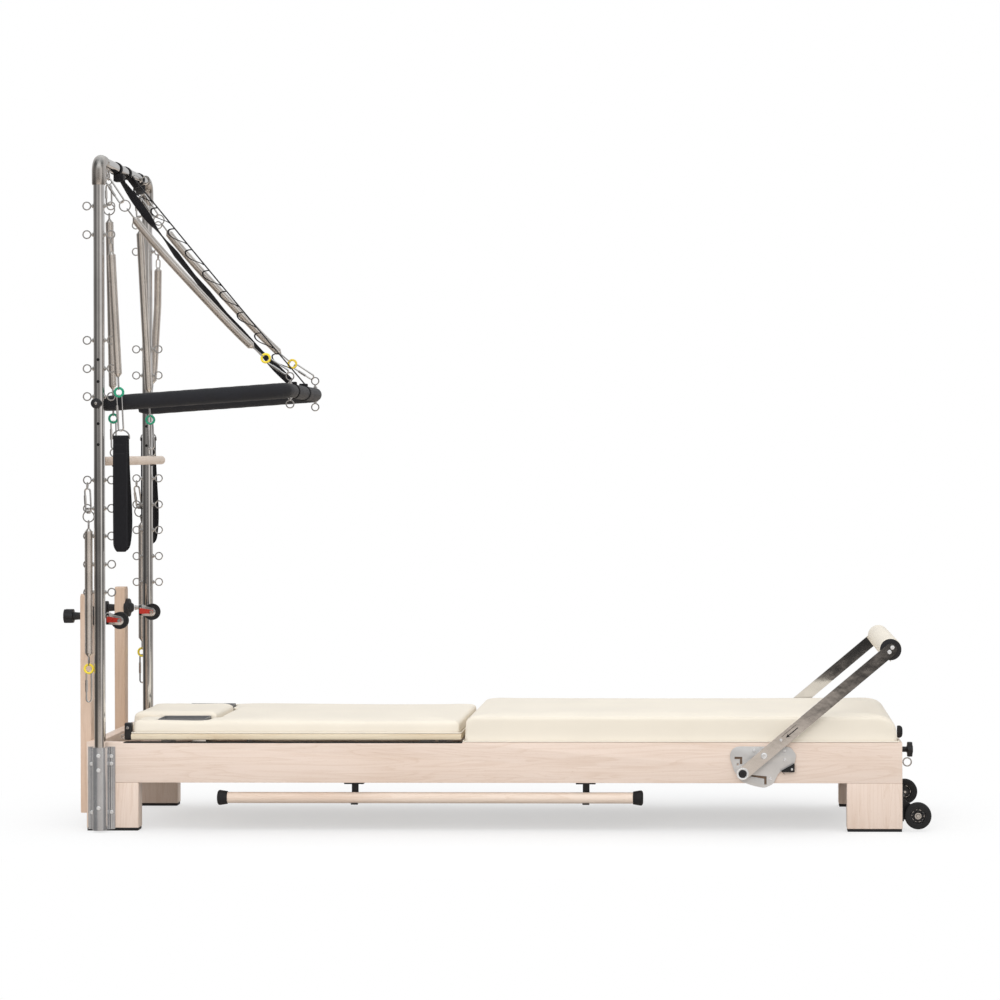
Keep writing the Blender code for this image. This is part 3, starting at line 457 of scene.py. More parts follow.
def turned_ring(shape, centre, axis, profile, sides=28):
    """A ring turned about an axis: profile is a closed loop of (offset, radius) pairs."""
    centre, axis = Vector(centre), Vector(axis).normalized()
    normal, other = square_to(axis)
    verts = [centre + axis * offset + (normal * u + other * v) * radius
             for u, v in circle(sides) for offset, radius in profile]
    shape.add(verts, skin(sides, len(profile), closed=True))


def ring(shape, centre, normal, radius=EYE_RADIUS, wire=EYE_WIRE, segments=22, sides=8):
    section = [(wire * u, radius + wire * v) for u, v in circle(sides)]
    turned_ring(shape, centre, normal, section, segments)


def oval(shape, start, end, width, wire, normal, gate=False):
    """A long closed loop from start to end, square to normal. gate adds a clip's sleeve."""
    start, end, normal = Vector(start), Vector(end), Vector(normal)
    along = (end - start).normalized()
    across = normal.cross(along).normalized()
    half = width / 2
    length = max((end - start).length, width + 0.001)
    points = []
    for centre, first in ((start + along * half, 180), (start + along * (length - half), 0)):
        points += [centre + across * u + along * v for u, v in arc((0, 0), half, first, first + 180, 8)]
    sweep(shape, points, wire, 7, closed=True, guide=along.cross(across))
    if gate:
        middle = start + along * (length * 0.28) + across * half
        sleeve, edge = length * 0.38, 0.0005
        lathe(shape, middle, along, [(0, wire), (edge, wire * 1.5), (sleeve, wire * 1.5),
                                     (sleeve + edge, wire)], 10)


def block(shape, low, high, radius=0.002, segments=2):
    """A box with rounded edges."""
    builder = bmesh.new()
    bmesh.ops.create_cube(builder, size=1.0)
    low, high = Vector(low), Vector(high)
    matrix = Matrix.Translation((low + high) / 2) @ Matrix.Diagonal((*(high - low), 1.0))
    bmesh.ops.transform(builder, matrix=matrix, verts=builder.verts)
    bmesh.ops.bevel(builder, geom=builder.edges[:], offset=radius, segments=segments,
                    affect="EDGES", profile=0.5)
    shape.take(builder)


def side_block(shape, side, x, y, z, radius=0.002, segments=2):
    """A rounded box given by its spans in x, in distance from the middle plane, and in z."""
    low_y, high_y = sorted((side * y[0], side * y[1]))
    block(shape, (x[0], low_y, z[0]), (x[1], high_y, z[1]), radius, segments)


def slab(shape, outline, span, point, radius=0.0, segments=2):
    """An outline with thickness; point(u, v, w) places it. Its rims are rounded by radius."""
    builder = bmesh.new()
    loops = [[builder.verts.new((u, v, w)) for u, v in outline] for w in span]
    caps = [builder.faces.new(reversed(loops[0])), builder.faces.new(loops[1])]
    for i, j in enumerate([*range(1, len(outline)), 0]):
        builder.faces.new((loops[0][i], loops[0][j], loops[1][j], loops[1][i]))
    if radius:
        rims = list({edge for cap in caps for edge in cap.edges})
        bmesh.ops.bevel(builder, geom=rims, offset=radius, segments=segments, affect="EDGES",
                        profile=0.5)
    shape.take(builder, lambda co: Vector(point(*co)))


def outwards(side):
    """Places an outline of (x, z) points whose thickness is measured from the middle plane."""
    return lambda u, v, w: (u, side * w, v)


def arc(centre, radius, start, end, steps):
    """Points on an arc, in degrees, anticlockwise in the outline's own plane."""
    angles = [radians(start + (end - start) * i / steps) for i in range(steps + 1)]
    return [(centre[0] + radius * cos(a), centre[1] + radius * sin(a)) for a in angles]


def rounded_corners(corners, radius, steps=5):
    """A polygon whose corners are rounded."""
    corners = [Vector(corner) for corner in corners]
    outline = []
    for i, corner in enumerate(corners):
        before = corner + (corners[i - 1] - corner).normalized() * radius
        after = corner + (corners[(i + 1) % len(corners)] - corner).normalized() * radius
        for k in range(steps + 1):
            t = k / steps
            outline.append(tuple(before * (1 - t) ** 2 + corner * 2 * t * (1 - t) + after * t * t))
    return outline


def rectangle(low, high, inset, radius, steps):
    """A rounded rectangle, inside two corners by inset."""
    x0, y0, x1, y1 = low[0] + inset, low[1] + inset, high[0] - inset, high[1] - inset
    return rounded_corners([(x0, y0), (x1, y0), (x1, y1), (x0, y1)], radius, steps)


def screw(shape, centre, direction, radius=0.0045, height=0.0025):
    """A domed head with a socket in it."""
    profile = [(-0.0004, radius), (height * 0.45, radius), (height * 0.85, radius * 0.82),
               (height, radius * 0.58), (height * 0.96, radius * 0.44), (height * 0.35, radius * 0.40)]
    lathe(shape, centre, direction, profile, 12)


def nut(shape, centre, direction, radius, height):
    edge = 0.0006
    lathe(shape, centre, direction, [(0, radius * 0.9), (edge, radius), (height - edge, radius),
                                     (height, radius * 0.9)], 6)


def star_knob(shape, x_span, centre, radius, lobes=6, steps=8):
    """A star knob whose shaft runs along X, with a hub and a dished face."""
    y, z = centre
    low, high = x_span
    outline = []
    for i in range(lobes * steps):
        a = 2 * pi * i / (lobes * steps)
        r = radius * (0.90 + 0.10 * cos(lobes * a))
        outline.append((r * cos(a), r * sin(a)))
    slab(shape, outline, x_span, lambda u, v, w: (w, y + u, z + v), 0.003, 3)
    length, hub, edge = high - low + 0.004, radius * 0.48, radius * 0.40
    lathe(shape, (low - 0.002, y, z), X, [(0, edge), (0.001, hub), (length - 0.001, hub),
                                         (length, edge)], 20)


class Route:
    """A path, with places on it by fraction of its length."""

    def __init__(self, points):
        self.points = [Vector(p) for p in points]
        self.lengths = [0.0]
        for first, second in zip(self.points, self.points[1:]):
            self.lengths.append(self.lengths[-1] + (second - first).length)
        self.total = self.lengths[-1]

    def at(self, fraction):
        wanted = min(max(fraction, 0.0), 1.0) * self.total
        i = 0
        while wanted > self.lengths[i + 1] and i < len(self.points) - 2:
            i += 1
        part = (wanted - self.lengths[i]) / (self.lengths[i + 1] - self.lengths[i])
        return self.points[i].lerp(self.points[i + 1], part)

    def between(self, start, end, step):
        count = max(2, int((end - start) * self.total / step))
        return [self.at(start + (end - start) * i / count) for i in range(count + 1)]


def sagging(start, end, sag, steps, fullness=2):
    """Points from start to end that hang below the straight line by up to sag.
    A greater fullness makes the middle straighter, as a stiff coil between loose clips is."""
    start, end = Vector(start), Vector(end)
    return [start.lerp(end, i / steps) - Z * sag * (1 - abs(2 * i / steps - 1) ** fullness)
            for i in range(steps + 1)]


def smooth_path(points, steps):
    """A smooth curve through points, with steps pieces between each two."""
    points = [Vector(p) for p in points]
    path = []
    for i in range(len(points) - 1):
        before, first = points[max(i - 1, 0)], points[i]
        second, after = points[i + 1], points[min(i + 2, len(points) - 1)]
        for k in range(steps):
            t = k / steps
            path.append(0.5 * (2 * first + (second - before) * t
                               + (2 * before - 5 * first + 4 * second - after) * t * t
                               + (3 * first - before - 3 * second + after) * t ** 3))
    return path + [points[-1]]


def helix(shape, route, start, end, radius, wire, pitch, steps=14, sides=8):
    """A wound wire along part of a route, slightly flattened on the outside as rolled wire is.
    radius is the coil's outer radius."""
    count = int((end - start) * route.total / pitch * steps)
    verts = []
    normal = Y
    for i in range(count + 1):
        fraction = start + (end - start) * i / count
        tangent = (route.at(fraction + 0.01) - route.at(fraction - 0.01)).normalized()
        normal, other = square_to(tangent, normal)
        a = 2 * pi * i / steps
        outward = normal * cos(a) + other * sin(a)
        verts += [route.at(fraction) + outward * (radius + wire * (u - 1) * WIRE_FLATNESS)
                  + tangent * wire * v for u, v in circle(sides)]
    shape.add(verts, skin(count + 1, sides))


def band(shape, points, wide, half_width, thickness, radii=1.0, **how):
    """A flat strap along points, with soft edges; wide is the direction of its width."""
    h, t = half_width, thickness / 2
    half = [(h, -t * 0.4), (h, t * 0.4), (h - t, t), (0, t * 1.05), (-h + t, t)]
    section = half + [(-u, -v) for u, v in half]
    sweep(shape, points, radii, guide=wide, section=section, **how)


def stitches(shape, points, length=0.004, gap=0.0022, thread=0.0006):
    """Sewn stitches along a path."""
    route = Route(points)
    for i in range(int(route.total / (length + gap))):
        start = i * (length + gap) / route.total
        places = [route.at(start + part * length / route.total) for part in (0, 0.5, 1)]
        sweep(shape, places, [thread * 0.5, thread, thread * 0.5], 5)


# ------------------------------------------------------------------ camera, lights and floor
def make_camera():
    data = bpy.data.cameras.new("camera")
    data.lens, data.sensor_width = 105.88, 36.0
    data.shift_x, data.shift_y = -0.110, -0.0575
    camera = bpy.data.objects.new("camera", data)
    bpy.context.collection.objects.link(camera)
    camera.location = (0.688, -9.030, 1.104)
    camera.rotation_euler = (radians(90.300), radians(0.181), radians(2.218))
    bpy.context.scene.camera = camera


def area_light(name, location, target, size, energy, colour=WHITE):
    data = bpy.data.lights.new(name, "AREA")
    data.shape = "RECTANGLE"
    data.size, data.size_y = size
    data.energy = energy
    data.color = colour
    light = bpy.data.objects.new(name, data)
    bpy.context.collection.objects.link(light)
    light.location = location
    aim = Vector(target) - Vector(location)
    light.rotation_euler = aim.to_track_quat("-Z", "Y").to_euler()
    light.visible_glossy = False


# The studio that polished metal mirrors, near the horizon and then above and below it, as
# (turn from the -X direction by way of the camera, grey).
STUDIO_BANDS = ((0.00, 0.10), (0.06, 0.07), (0.13, 0.09), (0.17, 0.19), (0.24, 0.21),
                (0.247, 0.05), (0.262, 0.05), (0.272, 0.20), (0.345, 0.20), (0.375, 0.85),
                (0.415, 0.85), (0.440, 0.17), (0.50, 0.15), (0.54, 0.40), (0.60, 0.62),
                (0.76, 0.55), (0.84, 0.62), (0.90, 0.50), (0.95, 0.12), (1.00, 0.10))
FRONT_BANDS = ((0.00, 0.12), (0.13, 0.12), (0.19, 0.75), (0.24, 1.00), (0.36, 1.00),
               (0.43, 0.25), (0.52, 0.15), (0.60, 0.70), (0.76, 0.90), (0.90, 0.60),
               (0.96, 0.15), (1.00, 0.12))


def make_world():
    """A white surround. What mirrors see is a studio with soft boxes, dark gaps and a floor."""
    world = bpy.data.worlds.new("studio")
    bpy.context.scene.world = world
    world.use_nodes = True
    tree = world.node_tree
    tree.nodes.clear()
    out = add(tree, "ShaderNodeOutputWorld")
    coords = add(tree, "ShaderNodeTexCoord").outputs["Generated"]
    way = add(tree, "ShaderNodeSeparateXYZ", {"Vector": coords}).outputs
    turn = maths(tree, "MULTIPLY_ADD", maths(tree, "ARCTAN2", way["Y"], way["X"]), 1 / (2 * pi), 0.5)
    warm = (1.0, 0.955, 0.92)
    bands = ramp(tree, turn, [(place, tuple(grey * c for c in warm)) for place, grey in STUDIO_BANDS])
    height = maths(tree, "MULTIPLY_ADD", way["Z"], 0.5, 0.5)
    above = ramp(tree, height, [(0.0, 0.0), (0.70, 0.0), (0.84, 1.0), (1.0, 1.0)])
    lift = add(tree, "ShaderNodeMapRange", {"Value": height, 1: 0.48, 2: 0.545, 3: 0.8, 4: 2.3})
    lifted = vectors(tree, "SCALE", bands, Scale=lift.outputs[0])[0]
    most = vectors(tree, "MAXIMUM", bands, (0.58, 0.58, 0.58))[0]
    lifted = vectors(tree, "MINIMUM", lifted, most)[0]
    below = ramp(tree, height, [(0.0, 1.0), (0.451, 1.0), (0.4635, 0.0), (1.0, 0.0)])
    around = ramp(tree, turn, FRONT_BANDS)
    zenith = ramp(tree, height, [(0.90, 0.0), (0.96, 0.62)])
    ceiling = mix(tree, 1.0, around, (0.98, 1.0, 1.0, 1), "MULTIPLY")
    ceiling = mix(tree, zenith, ceiling, (0.62, 0.64, 0.66, 1))
    ground = mix(tree, 1.0, around, (0.74, 0.655, 0.58, 1), "MULTIPLY")
    mirrored = mix(tree, above, lifted, ceiling)
    mirrored = mix(tree, below, mirrored, ground)
    rays = add(tree, "ShaderNodeLightPath").outputs
    dim = (0.42, 0.42, 0.42)
    sky = ramp(tree, height, [(0.50, dim), (0.58, dim), (0.72, (1.12, 1.13, 1.14))])
    lit = mix(tree, rays["Is Glossy Ray"], sky, mirrored)
    seen = mix(tree, rays["Is Camera Ray"], lit, (*WHITE, 1))
    light = add(tree, "ShaderNodeBackground", {"Color": seen, "Strength": 1.0})
    link(tree, light.outputs[0], out, "Surface")


def make_floor(half=30.0, z=-0.0004):
    mesh = bpy.data.meshes.new("floor")
    corners = [(-half, -half, z), (half, -half, z), (half, half, z), (-half, half, z)]
    mesh.from_pydata(corners, [], [(0, 1, 2, 3)])
    mesh.materials.append(floor_paint())
    floor = bpy.data.objects.new("floor", mesh)
    bpy.context.collection.objects.link(floor)
    floor.visible_glossy = False


def make_studio():
    make_camera()
    make_world()
    area_light("key", (1.5, -3.0, 5.5), (0, 0, 0.3), (5.0, 3.0), 36, (1, 0.985, 0.96))
    area_light("front", (-1.0, -7.0, 2.5), (-0.2, 0, 0.7), (4.0, 3.0), 164)
    area_light("back", (0.5, 4.0, 4.5), (0, 0, 0.5), (6.0, 2.0), 10)
    make_floor()
    view = bpy.context.scene.view_settings
    view.view_transform = "Standard"
    view.look = "None"


# ------------------------------------------------------------------ wooden frame
def wood(node, finish, low=None, high=None):
    """A board, in the place of its CAD node unless it is given another corner."""
    shape = Shape()
    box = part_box(node)
    block(shape, low or box[0], high or box[1], 0.0016, 3)
    make(f"{node}_wood", shape, finish, "frame", node)


def wooden_frame():
    """Rails whose top is lowered along the carriage and filled with black rubber strips, a painted
    shadow for the gap under the carriage, boards, and legs on rubber pads.
    """
    shadow_strips, pads = Shape(), Shape()
    drop, (start, end) = 0.0042, (-1.100, -0.0890)
    floor_z = RAIL_TOP - drop
    for (name, side), grain in zip(SIDES.items(), ("maple_x", "maple_x_far")):
        outline = [(-HALF_LENGTH, RAIL_BOTTOM), (HALF_LENGTH, RAIL_BOTTOM), (HALF_LENGTH, RAIL_TOP),
                   (end, RAIL_TOP), (end, floor_z), (start, floor_z), (start, RAIL_TOP),
                   (-HALF_LENGTH, RAIL_TOP)]
        rail = Shape()
        slab(rail, outline, (HALF_WIDTH - 0.035, HALF_WIDTH), outwards(side), 0.0014, 2)
        make(f"rail_{name}_wood", rail, grain, "frame", f"rail_{name}")
        # Painted shadow: black strips fill the lowered top, so the gap under the carriage reads dark.
        side_block(shadow_strips, side, (start + 0.001, end - 0.001), (0.3065, 0.3370),
                   (floor_z - 0.0005, RAIL_TOP - GAP), 0.0005, 1)
    make("rail_shadow_strips", shadow_strips, "rubber", "frame")
    wood("head_board", "maple_y")
    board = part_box("foot_board")[1]
    wood("foot_board", "maple_y", high=(HALF_LENGTH, board.y, board.z))
    pad_height, inset = 0.0085, 0.0015
    for node in [f"leg_{end}_{name}" for end in ENDS for name in SIDES]:
        low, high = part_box(node)
        wood(node, "maple_z", low=(low.x, low.y, pad_height))
        block(pads, (low.x + inset, low.y + inset, 0),
              (high.x - inset, high.y - inset, pad_height + 0.001), 0.001)
    make("foot_pads", pads, "rubber", "frame")
    for node in ("track_near", "track_far", "spring_bar"):
        repaint(node, "aluminium")


# Places of the bracket's screws: heights on the boss, and (distance along, height) on the flanges.
BOSS_SCREWS = (0.072, 0.184, 0.227)
FLANGE_SCREWS = ((-0.0295, 0.055), (-0.0295, 0.199), (0.0295, 0.056), (0.0295, 0.200), (0.0295, 0.222))


def corner_brackets():
    """Extruded sockets for the posts, with fillets, grooves and screws, and dark strips beside each
    boss as painted shade.
    """
    flange, depth, boss, boss_centre, groove = 0.0405, 0.004, 0.0225, 0.0247, 0.0262
    half = [(0, 0), (flange, 0), (flange, depth - 0.0008), (flange - 0.0008, depth),
            (0.0345, depth), (0.0340, depth - 0.0011), (0.0328, depth - 0.0011),
            (0.0323, depth), (boss + 0.003, depth), (boss + 0.0008, depth + 0.0009),
            (boss, depth + 0.003)]
    half += arc((0, boss_centre), boss, 0, 88, 14)
    outline = half + [(-u, v) for u, v in reversed(half[1:])]
    low, high = (corner.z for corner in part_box("corner_bracket_near"))
    back = HALF_WIDTH + GAP
    face, front = back + depth, back + boss_centre + boss
    screws, shade_lines = Shape(), Shape()
    for name, side in SIDES.items():
        bracket = Shape()
        slab(bracket, outline, (low, high),
             lambda u, v, w, s=side: (POST_X + u, s * (back + v), w), 0.0006, 1)
        make(f"corner_bracket_{name}_extrusion", bracket, "aluminium", "frame",
             f"corner_bracket_{name}", smooth=25)
        for z in BOSS_SCREWS:
            screw(screws, (POST_X, side * front, z), Y * side, 0.0062, 0.0038)
        for u, z in FLANGE_SCREWS:
            screw(screws, (POST_X + u, side * face, z), Y * side, 0.0060, 0.0034)
        # Painted shade: a dark strip on each side of the boss, where the flange meets it.
        for x in (POST_X - groove, POST_X + groove):
            side_block(shade_lines, side, (x - 0.0010, x + 0.0010), (face - 0.0006, face + 0.0002),
                       (low + 0.0005, high - 0.0005), 0.0001, 1)
    make("corner_bracket_screws", screws, "painted_highlight", "frame")
    make("corner_bracket_shade_lines", shade_lines, "groove", "frame")


# ------------------------------------------------------------------ tower
EYEBOLT_HEIGHTS = (1.857, 1.772, 1.458, 1.374, 1.291, 1.043, 0.959, 0.877, 0.793, 0.710)
LOCK_HOLES = (1.210, 1.148, 1.335, 1.400)


def eyebolt(shape, base, direction, eye_normal, reach=EYE_REACH, post=POST_RADIUS):
    """An eyebolt from an axis: its nut and washer sit on the surface at distance post."""
    base, direction = Vector(base), Vector(direction)
    rod(shape, base + direction * (post - 0.002), direction, 0.0032, reach - EYE_RADIUS - post + 0.003,
        10)
    rod(shape, base + direction * (post - 0.0008), direction, 0.0072, 0.0016, 14)
    nut(shape, base + direction * (post + 0.0005), direction, 0.0058, 0.0038)
    ring(shape, base + direction * reach, eye_normal)


def tower():
    low, high = POST_SPAN
    for name, side in SIDES.items():
        post, bolts, holes = Shape(), Shape(), Shape()
        y = side * POST_Y
        rod(post, (POST_X, y, low), Z, POST_RADIUS, high - low, 48)
        for way in (-1, 1):
            # Painted shade: black discs stand in for the shaded insides of the lock holes.
            for z in LOCK_HOLES:
                rod(holes, (POST_X, y + way * (POST_RADIUS - 0.004), z), Y * way, 0.0045, 0.0041, 16)
            for z in EYEBOLT_HEIGHTS:
                eyebolt(bolts, (POST_X, y, z), X * way, Y)
        make(f"tower_post_{name}_tube", post, "steel", "frame", f"tower_post_{name}")
        make(f"tower_eyebolts_{name}", bolts, "clip", "frame")
        make(f"tower_lock_hole_shade_{name}", holes, "hole", "frame")
    crossbar()


def crossbar():
    """Two elbows and the bar between them, with eyebolts and screws."""
    bend, sleeve_end, post_top = 0.035, 0.305, POST_SPAN[1]
    bar, elbows, bolts = Shape(), Shape(), Shape()
    sweep(bar, [(POST_X, way * (sleeve_end + 0.004), CROSSBAR_Z) for way in (-1, 1)],
          CROSSBAR_RADIUS, 40)
    make("tower_crossbar_tube", bar, "steel", "frame", "tower_crossbar")
    for side in SIDES.values():
        path = [(POST_Y, post_top), (POST_Y, post_top + 0.004)]
        path += arc((POST_Y - bend, CROSSBAR_Z - bend), bend, 0, 90, 12)
        path += [(sleeve_end + 0.002, CROSSBAR_Z), (sleeve_end, CROSSBAR_Z)]
        radii = [SLEEVE_RADIUS] * len(path)
        radii[0], radii[-1] = SLEEVE_RADIUS - 0.001, SLEEVE_RADIUS - 0.0015
        sweep(elbows, [(POST_X, side * y, z) for y, z in path], radii, 32)
        for y, z in ((POST_Y, post_top + 0.012), (0.316, CROSSBAR_Z)):
            screw(bolts, (POST_X + SLEEVE_RADIUS, side * y, z), X, 0.004, 0.002)
        for y in (INNER_SPRING_Y, BAR_SPRING_Y):
            eyebolt(bolts, (POST_X, side * y, CROSSBAR_Z), -Z, X, CROSSBAR_Z - CROSSBAR_EYE_Z,
                    CROSSBAR_RADIUS)
    eyebolt(bolts, (POST_X, 0.180, CROSSBAR_Z), (0.985, 0, -0.17), Y, 0.033, CROSSBAR_RADIUS)
    make("tower_elbows", elbows, "elbow", "frame")
    make("crossbar_eyebolts", bolts, "clip", "frame")


def risers():
    """Boards at the head end, with a clamping knob and a swivelling pulley on each."""
    corner, half = 0.008, 0.025
    for name, side in SIDES.items():
        low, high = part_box(f"riser_{name}")
        centre = side * RISER_Y
        back, face = low.x, -HALF_LENGTH - GAP
        outline = [(centre - half, low.z), (centre + half, low.z)]
        outline += arc((centre + half - corner, high.z - corner), corner, 0, 90, 5)
        outline += arc((centre - half + corner, high.z - corner), corner, 90, 180, 5)
        board, flange, knob = Shape(), Shape(), Shape()
        slab(board, outline, (back, face), lambda u, v, w: (w, u, v), 0.003, 3)
        # The board's darker maple is partly its own tone and partly painted shade.
        make(f"riser_{name}_board", board, "maple_riser_with_painted_shade", "frame", f"riser_{name}")
        lathe(flange, (face - 0.004, centre, PULLEY_Z), X,
              [(0, 0.027), (0.001, 0.029), (0.0140, 0.029), (0.0163, 0.0270), (0.0165, 0.019),
               (0.0220, 0.015), (0.0270, 0.011)], 32)
        make(f"riser_{name}_flange", flange, "plastic", "frame")
        star_knob(knob, (-1.296, -1.268), (centre, PULLEY_Z), 0.023)
        lathe(knob, (-1.270, centre, PULLEY_Z), X, [(0, 0.0125), (0.018, 0.011), (0.0266, 0.011)])
        make(f"riser_knob_{name}_star", knob, "plastic", f"riser_knob_{name}", f"riser_knob_{name}")
        pulley(name, centre)


def pulley(name, y0, x=-1.128, z=PULLEY_Z - 0.0135):
    """A wheel at x, z between two cheeks with labels, on a swivel with a nut."""
    on = f"pulley_housing_{name}"
    back, top, side_y, label_x = -1.1680, z + 0.022, 0.0125, -1.1660
    cheeks, labels, metalwork, wheel = Shape(), Shape(), Shape(), Shape()
    outline = [(back, z - 0.012)] + arc((x, z), 0.0135, -90, 90, 12) + [(-1.1600, top), (back, top)]
    strip = rounded_corners([(label_x, z - 0.0055), (x + 0.006, z - 0.0050),
                             (x + 0.006, z + 0.0055), (label_x, z + 0.0135)], 0.002, 3)

    def across(u, v, w):
        return u, y0 + w, v

    for way in (-1, 1):
        slab(cheeks, outline, sorted((way * 0.0092, way * side_y)), across, 0.0007, 2)
        slab(labels, strip, sorted((way * 0.0124, way * 0.0130)), across)
        nut(metalwork, (x, y0 + way * side_y, z), Y * way, 0.006, 0.003)
        screw(metalwork, (-1.1630, y0 + way * side_y, z + 0.014), Y * way, 0.0028, 0.0015)
    block(cheeks, (-1.1685, y0 - side_y, z - 0.012), (-1.1575, y0 + side_y, PULLEY_Z + 0.010), 0.0015)
    make(f"pulley_cheeks_{name}", cheeks, "clip", on, on)
    make(f"pulley_label_{name}", labels, "red", on)
    lathe(metalwork, (-1.1830, y0, PULLEY_Z), X, [(0, 0.008), (0.004, 0.008), (0.005, 0.0065),
                                                 (0.012, 0.0065), (0.013, 0.008), (0.016, 0.008)])
    make(f"pulley_metalwork_{name}", metalwork, "clip", on)
    half = [(-0.0075, 0.0045), (-0.0075, 0.012), (-0.0062, 0.0135), (-0.0062, 0.021),
            (-0.0075, 0.0225), (-0.0075, 0.0255), (-0.0068, 0.026), (-0.0050, 0.0258)]
    groove = [(-0.0050 * cos(radians(a)), 0.0258 - 0.0055 * sin(radians(a)))
              for a in range(20, 170, 20)]
    turned_ring(wheel, (x, y0, z), Y, half + groove + [(-u, r) for u, r in reversed(half)], 36)
    make(f"pulley_wheel_{name}_grooved", wheel, "plastic", f"pulley_wheel_{name}",
         f"pulley_wheel_{name}")


# ------------------------------------------------------------------ springs and clips
COIL_RADIUS, COIL_WIRE, COIL_PITCH = 0.0120, 0.00135, 0.0026
WIRE_FLATNESS = 0.30
CODE_RADIUS, CODE_WIRE = 0.0125, 0.0036


def hung_spring(name, points, coil, code_at, colour, on, link=None):
    """A close-wound spring on clips, with a coloured coding ring at its lower end.
    coil is the fractions of the route where the coil starts and ends."""
    route = Route(points)
    coil_from, coil_to = coil
    cone, step = 0.010 / route.total, 0.02
    wire, clips, code = Shape(), Shape(), Shape()
    helix(wire, route, coil_from + cone, coil_to - cone, COIL_RADIUS, COIL_WIRE, COIL_PITCH)
    core = route.between(coil_from + cone, coil_to - cone, step)
    sweep(wire, core, COIL_RADIUS - 1.6 * COIL_WIRE * WIRE_FLATNESS, 16)
    for start, end in ((coil_from, coil_from + cone * 1.6), (coil_to, coil_to - cone * 1.6)):
        tip = route.at(start)
        lathe(wire, tip, route.at(end) - tip, [(0, 0.0035), (0.002, 0.0048), (0.009, 0.0100),
                                               (0.016, 0.0105)])
    if link:
        ring(clips, *link, LINK_RADIUS, LINK_WIRE)
    lead, top = coil_from * route.total, route.at(coil_from + cone * 0.3)
    if lead > 0.06:
        joint = coil_from * 0.60
        oval(clips, route.at(0), route.at(joint), 0.016, 0.0027, Y, gate=True)
        split = 0.0165 if lead > 0.09 else 0.011
        middle = joint + (split - 0.004) / route.total
        ring(clips, route.at(middle), Y, split, 0.0019, 28)
        oval(clips, route.at(middle + (split - 0.005) / route.total), top, 0.011, 0.0018, X)
    else:
        oval(clips, route.at(0), top, 0.012, 0.0019, Y)
    reach = (CODE_RADIUS - 0.004) / route.total
    oval(clips, route.at(coil_to - cone * 0.3), route.at(code_at - reach), 0.012, 0.0018, X)
    oval(clips, route.at(code_at + reach), route.at(1.0), 0.015, 0.0026, Y, gate=True)
    ring(code, route.at(code_at), Y, CODE_RADIUS, CODE_WIRE, 30, 12)
    return [make(f"{name}_coil", wire, "wire", on, name, smooth=180),
            make(f"{name}_clips", clips, "clip", on),
            make(f"{name}_ring", code, colour, on)]


def first_link(eye, normal):
    """The link that hangs in an eye, as (centre, normal), and its lowest point."""
    centre = Vector(eye) - Z * (EYE_RADIUS - (EYE_WIRE + LINK_WIRE + GAP) + LINK_RADIUS)
    return (centre, normal), centre - Z * LINK_RADIUS


ROLL_DOWN_ENDS = (Vector((-1.159, -0.34, 1.0990)), Vector((-1.114, 0.34, 1.1015)))
ROLL_DOWN_RADIUS = 0.0135


def roll_down():
    """A dowel that hangs in two springs from the crossbar."""
    start, end = ROLL_DOWN_ENDS
    length = (end - start).length
    along = (end - start).normalized()
    r = ROLL_DOWN_RADIUS
    dowel, eyes, nubs = Shape(), Shape(), Shape()
    turned = [(0, r - 0.005), (0.0008, r - 0.003), (0.003, r - 0.0008), (0.006, r)]
    lathe(dowel, start, along, turned + [(length - u, v) for u, v in reversed(turned)], 32)
    make("roll_down_dowel", dowel, "dowel", "roll_down", "roll_down_bar")
    for name, side in SIDES.items():
        point = start.lerp(end, 0.5 + side * 0.22 / length)
        eye = point + Z * (r + 0.0115)
        ring(eyes, eye, along)
        lathe(eyes, point + Z * (r - 0.002), Z, [(0, 0.0055), (0.0025, 0.0055), (0.003, 0.003),
                                                 (0.0045, 0.003)], 12)
        lathe(nubs, point - Z * (r - 0.001), -Z, [(0, 0.0065), (0.003, 0.0065), (0.0052, 0.004)], 16)
        link, top = first_link((POST_X, side * INNER_SPRING_Y, CROSSBAR_EYE_Z), Y)
        hung_spring(f"arm_spring_inner_{name}", [top, eye + Z * EYE_RADIUS], (0.13, 0.775), 0.885,
                    "green", "roll_down", link)
    make("roll_down_eyebolts", eyes, "clip", "roll_down")
    make("roll_down_nubs", nubs, "plastic", "roll_down")


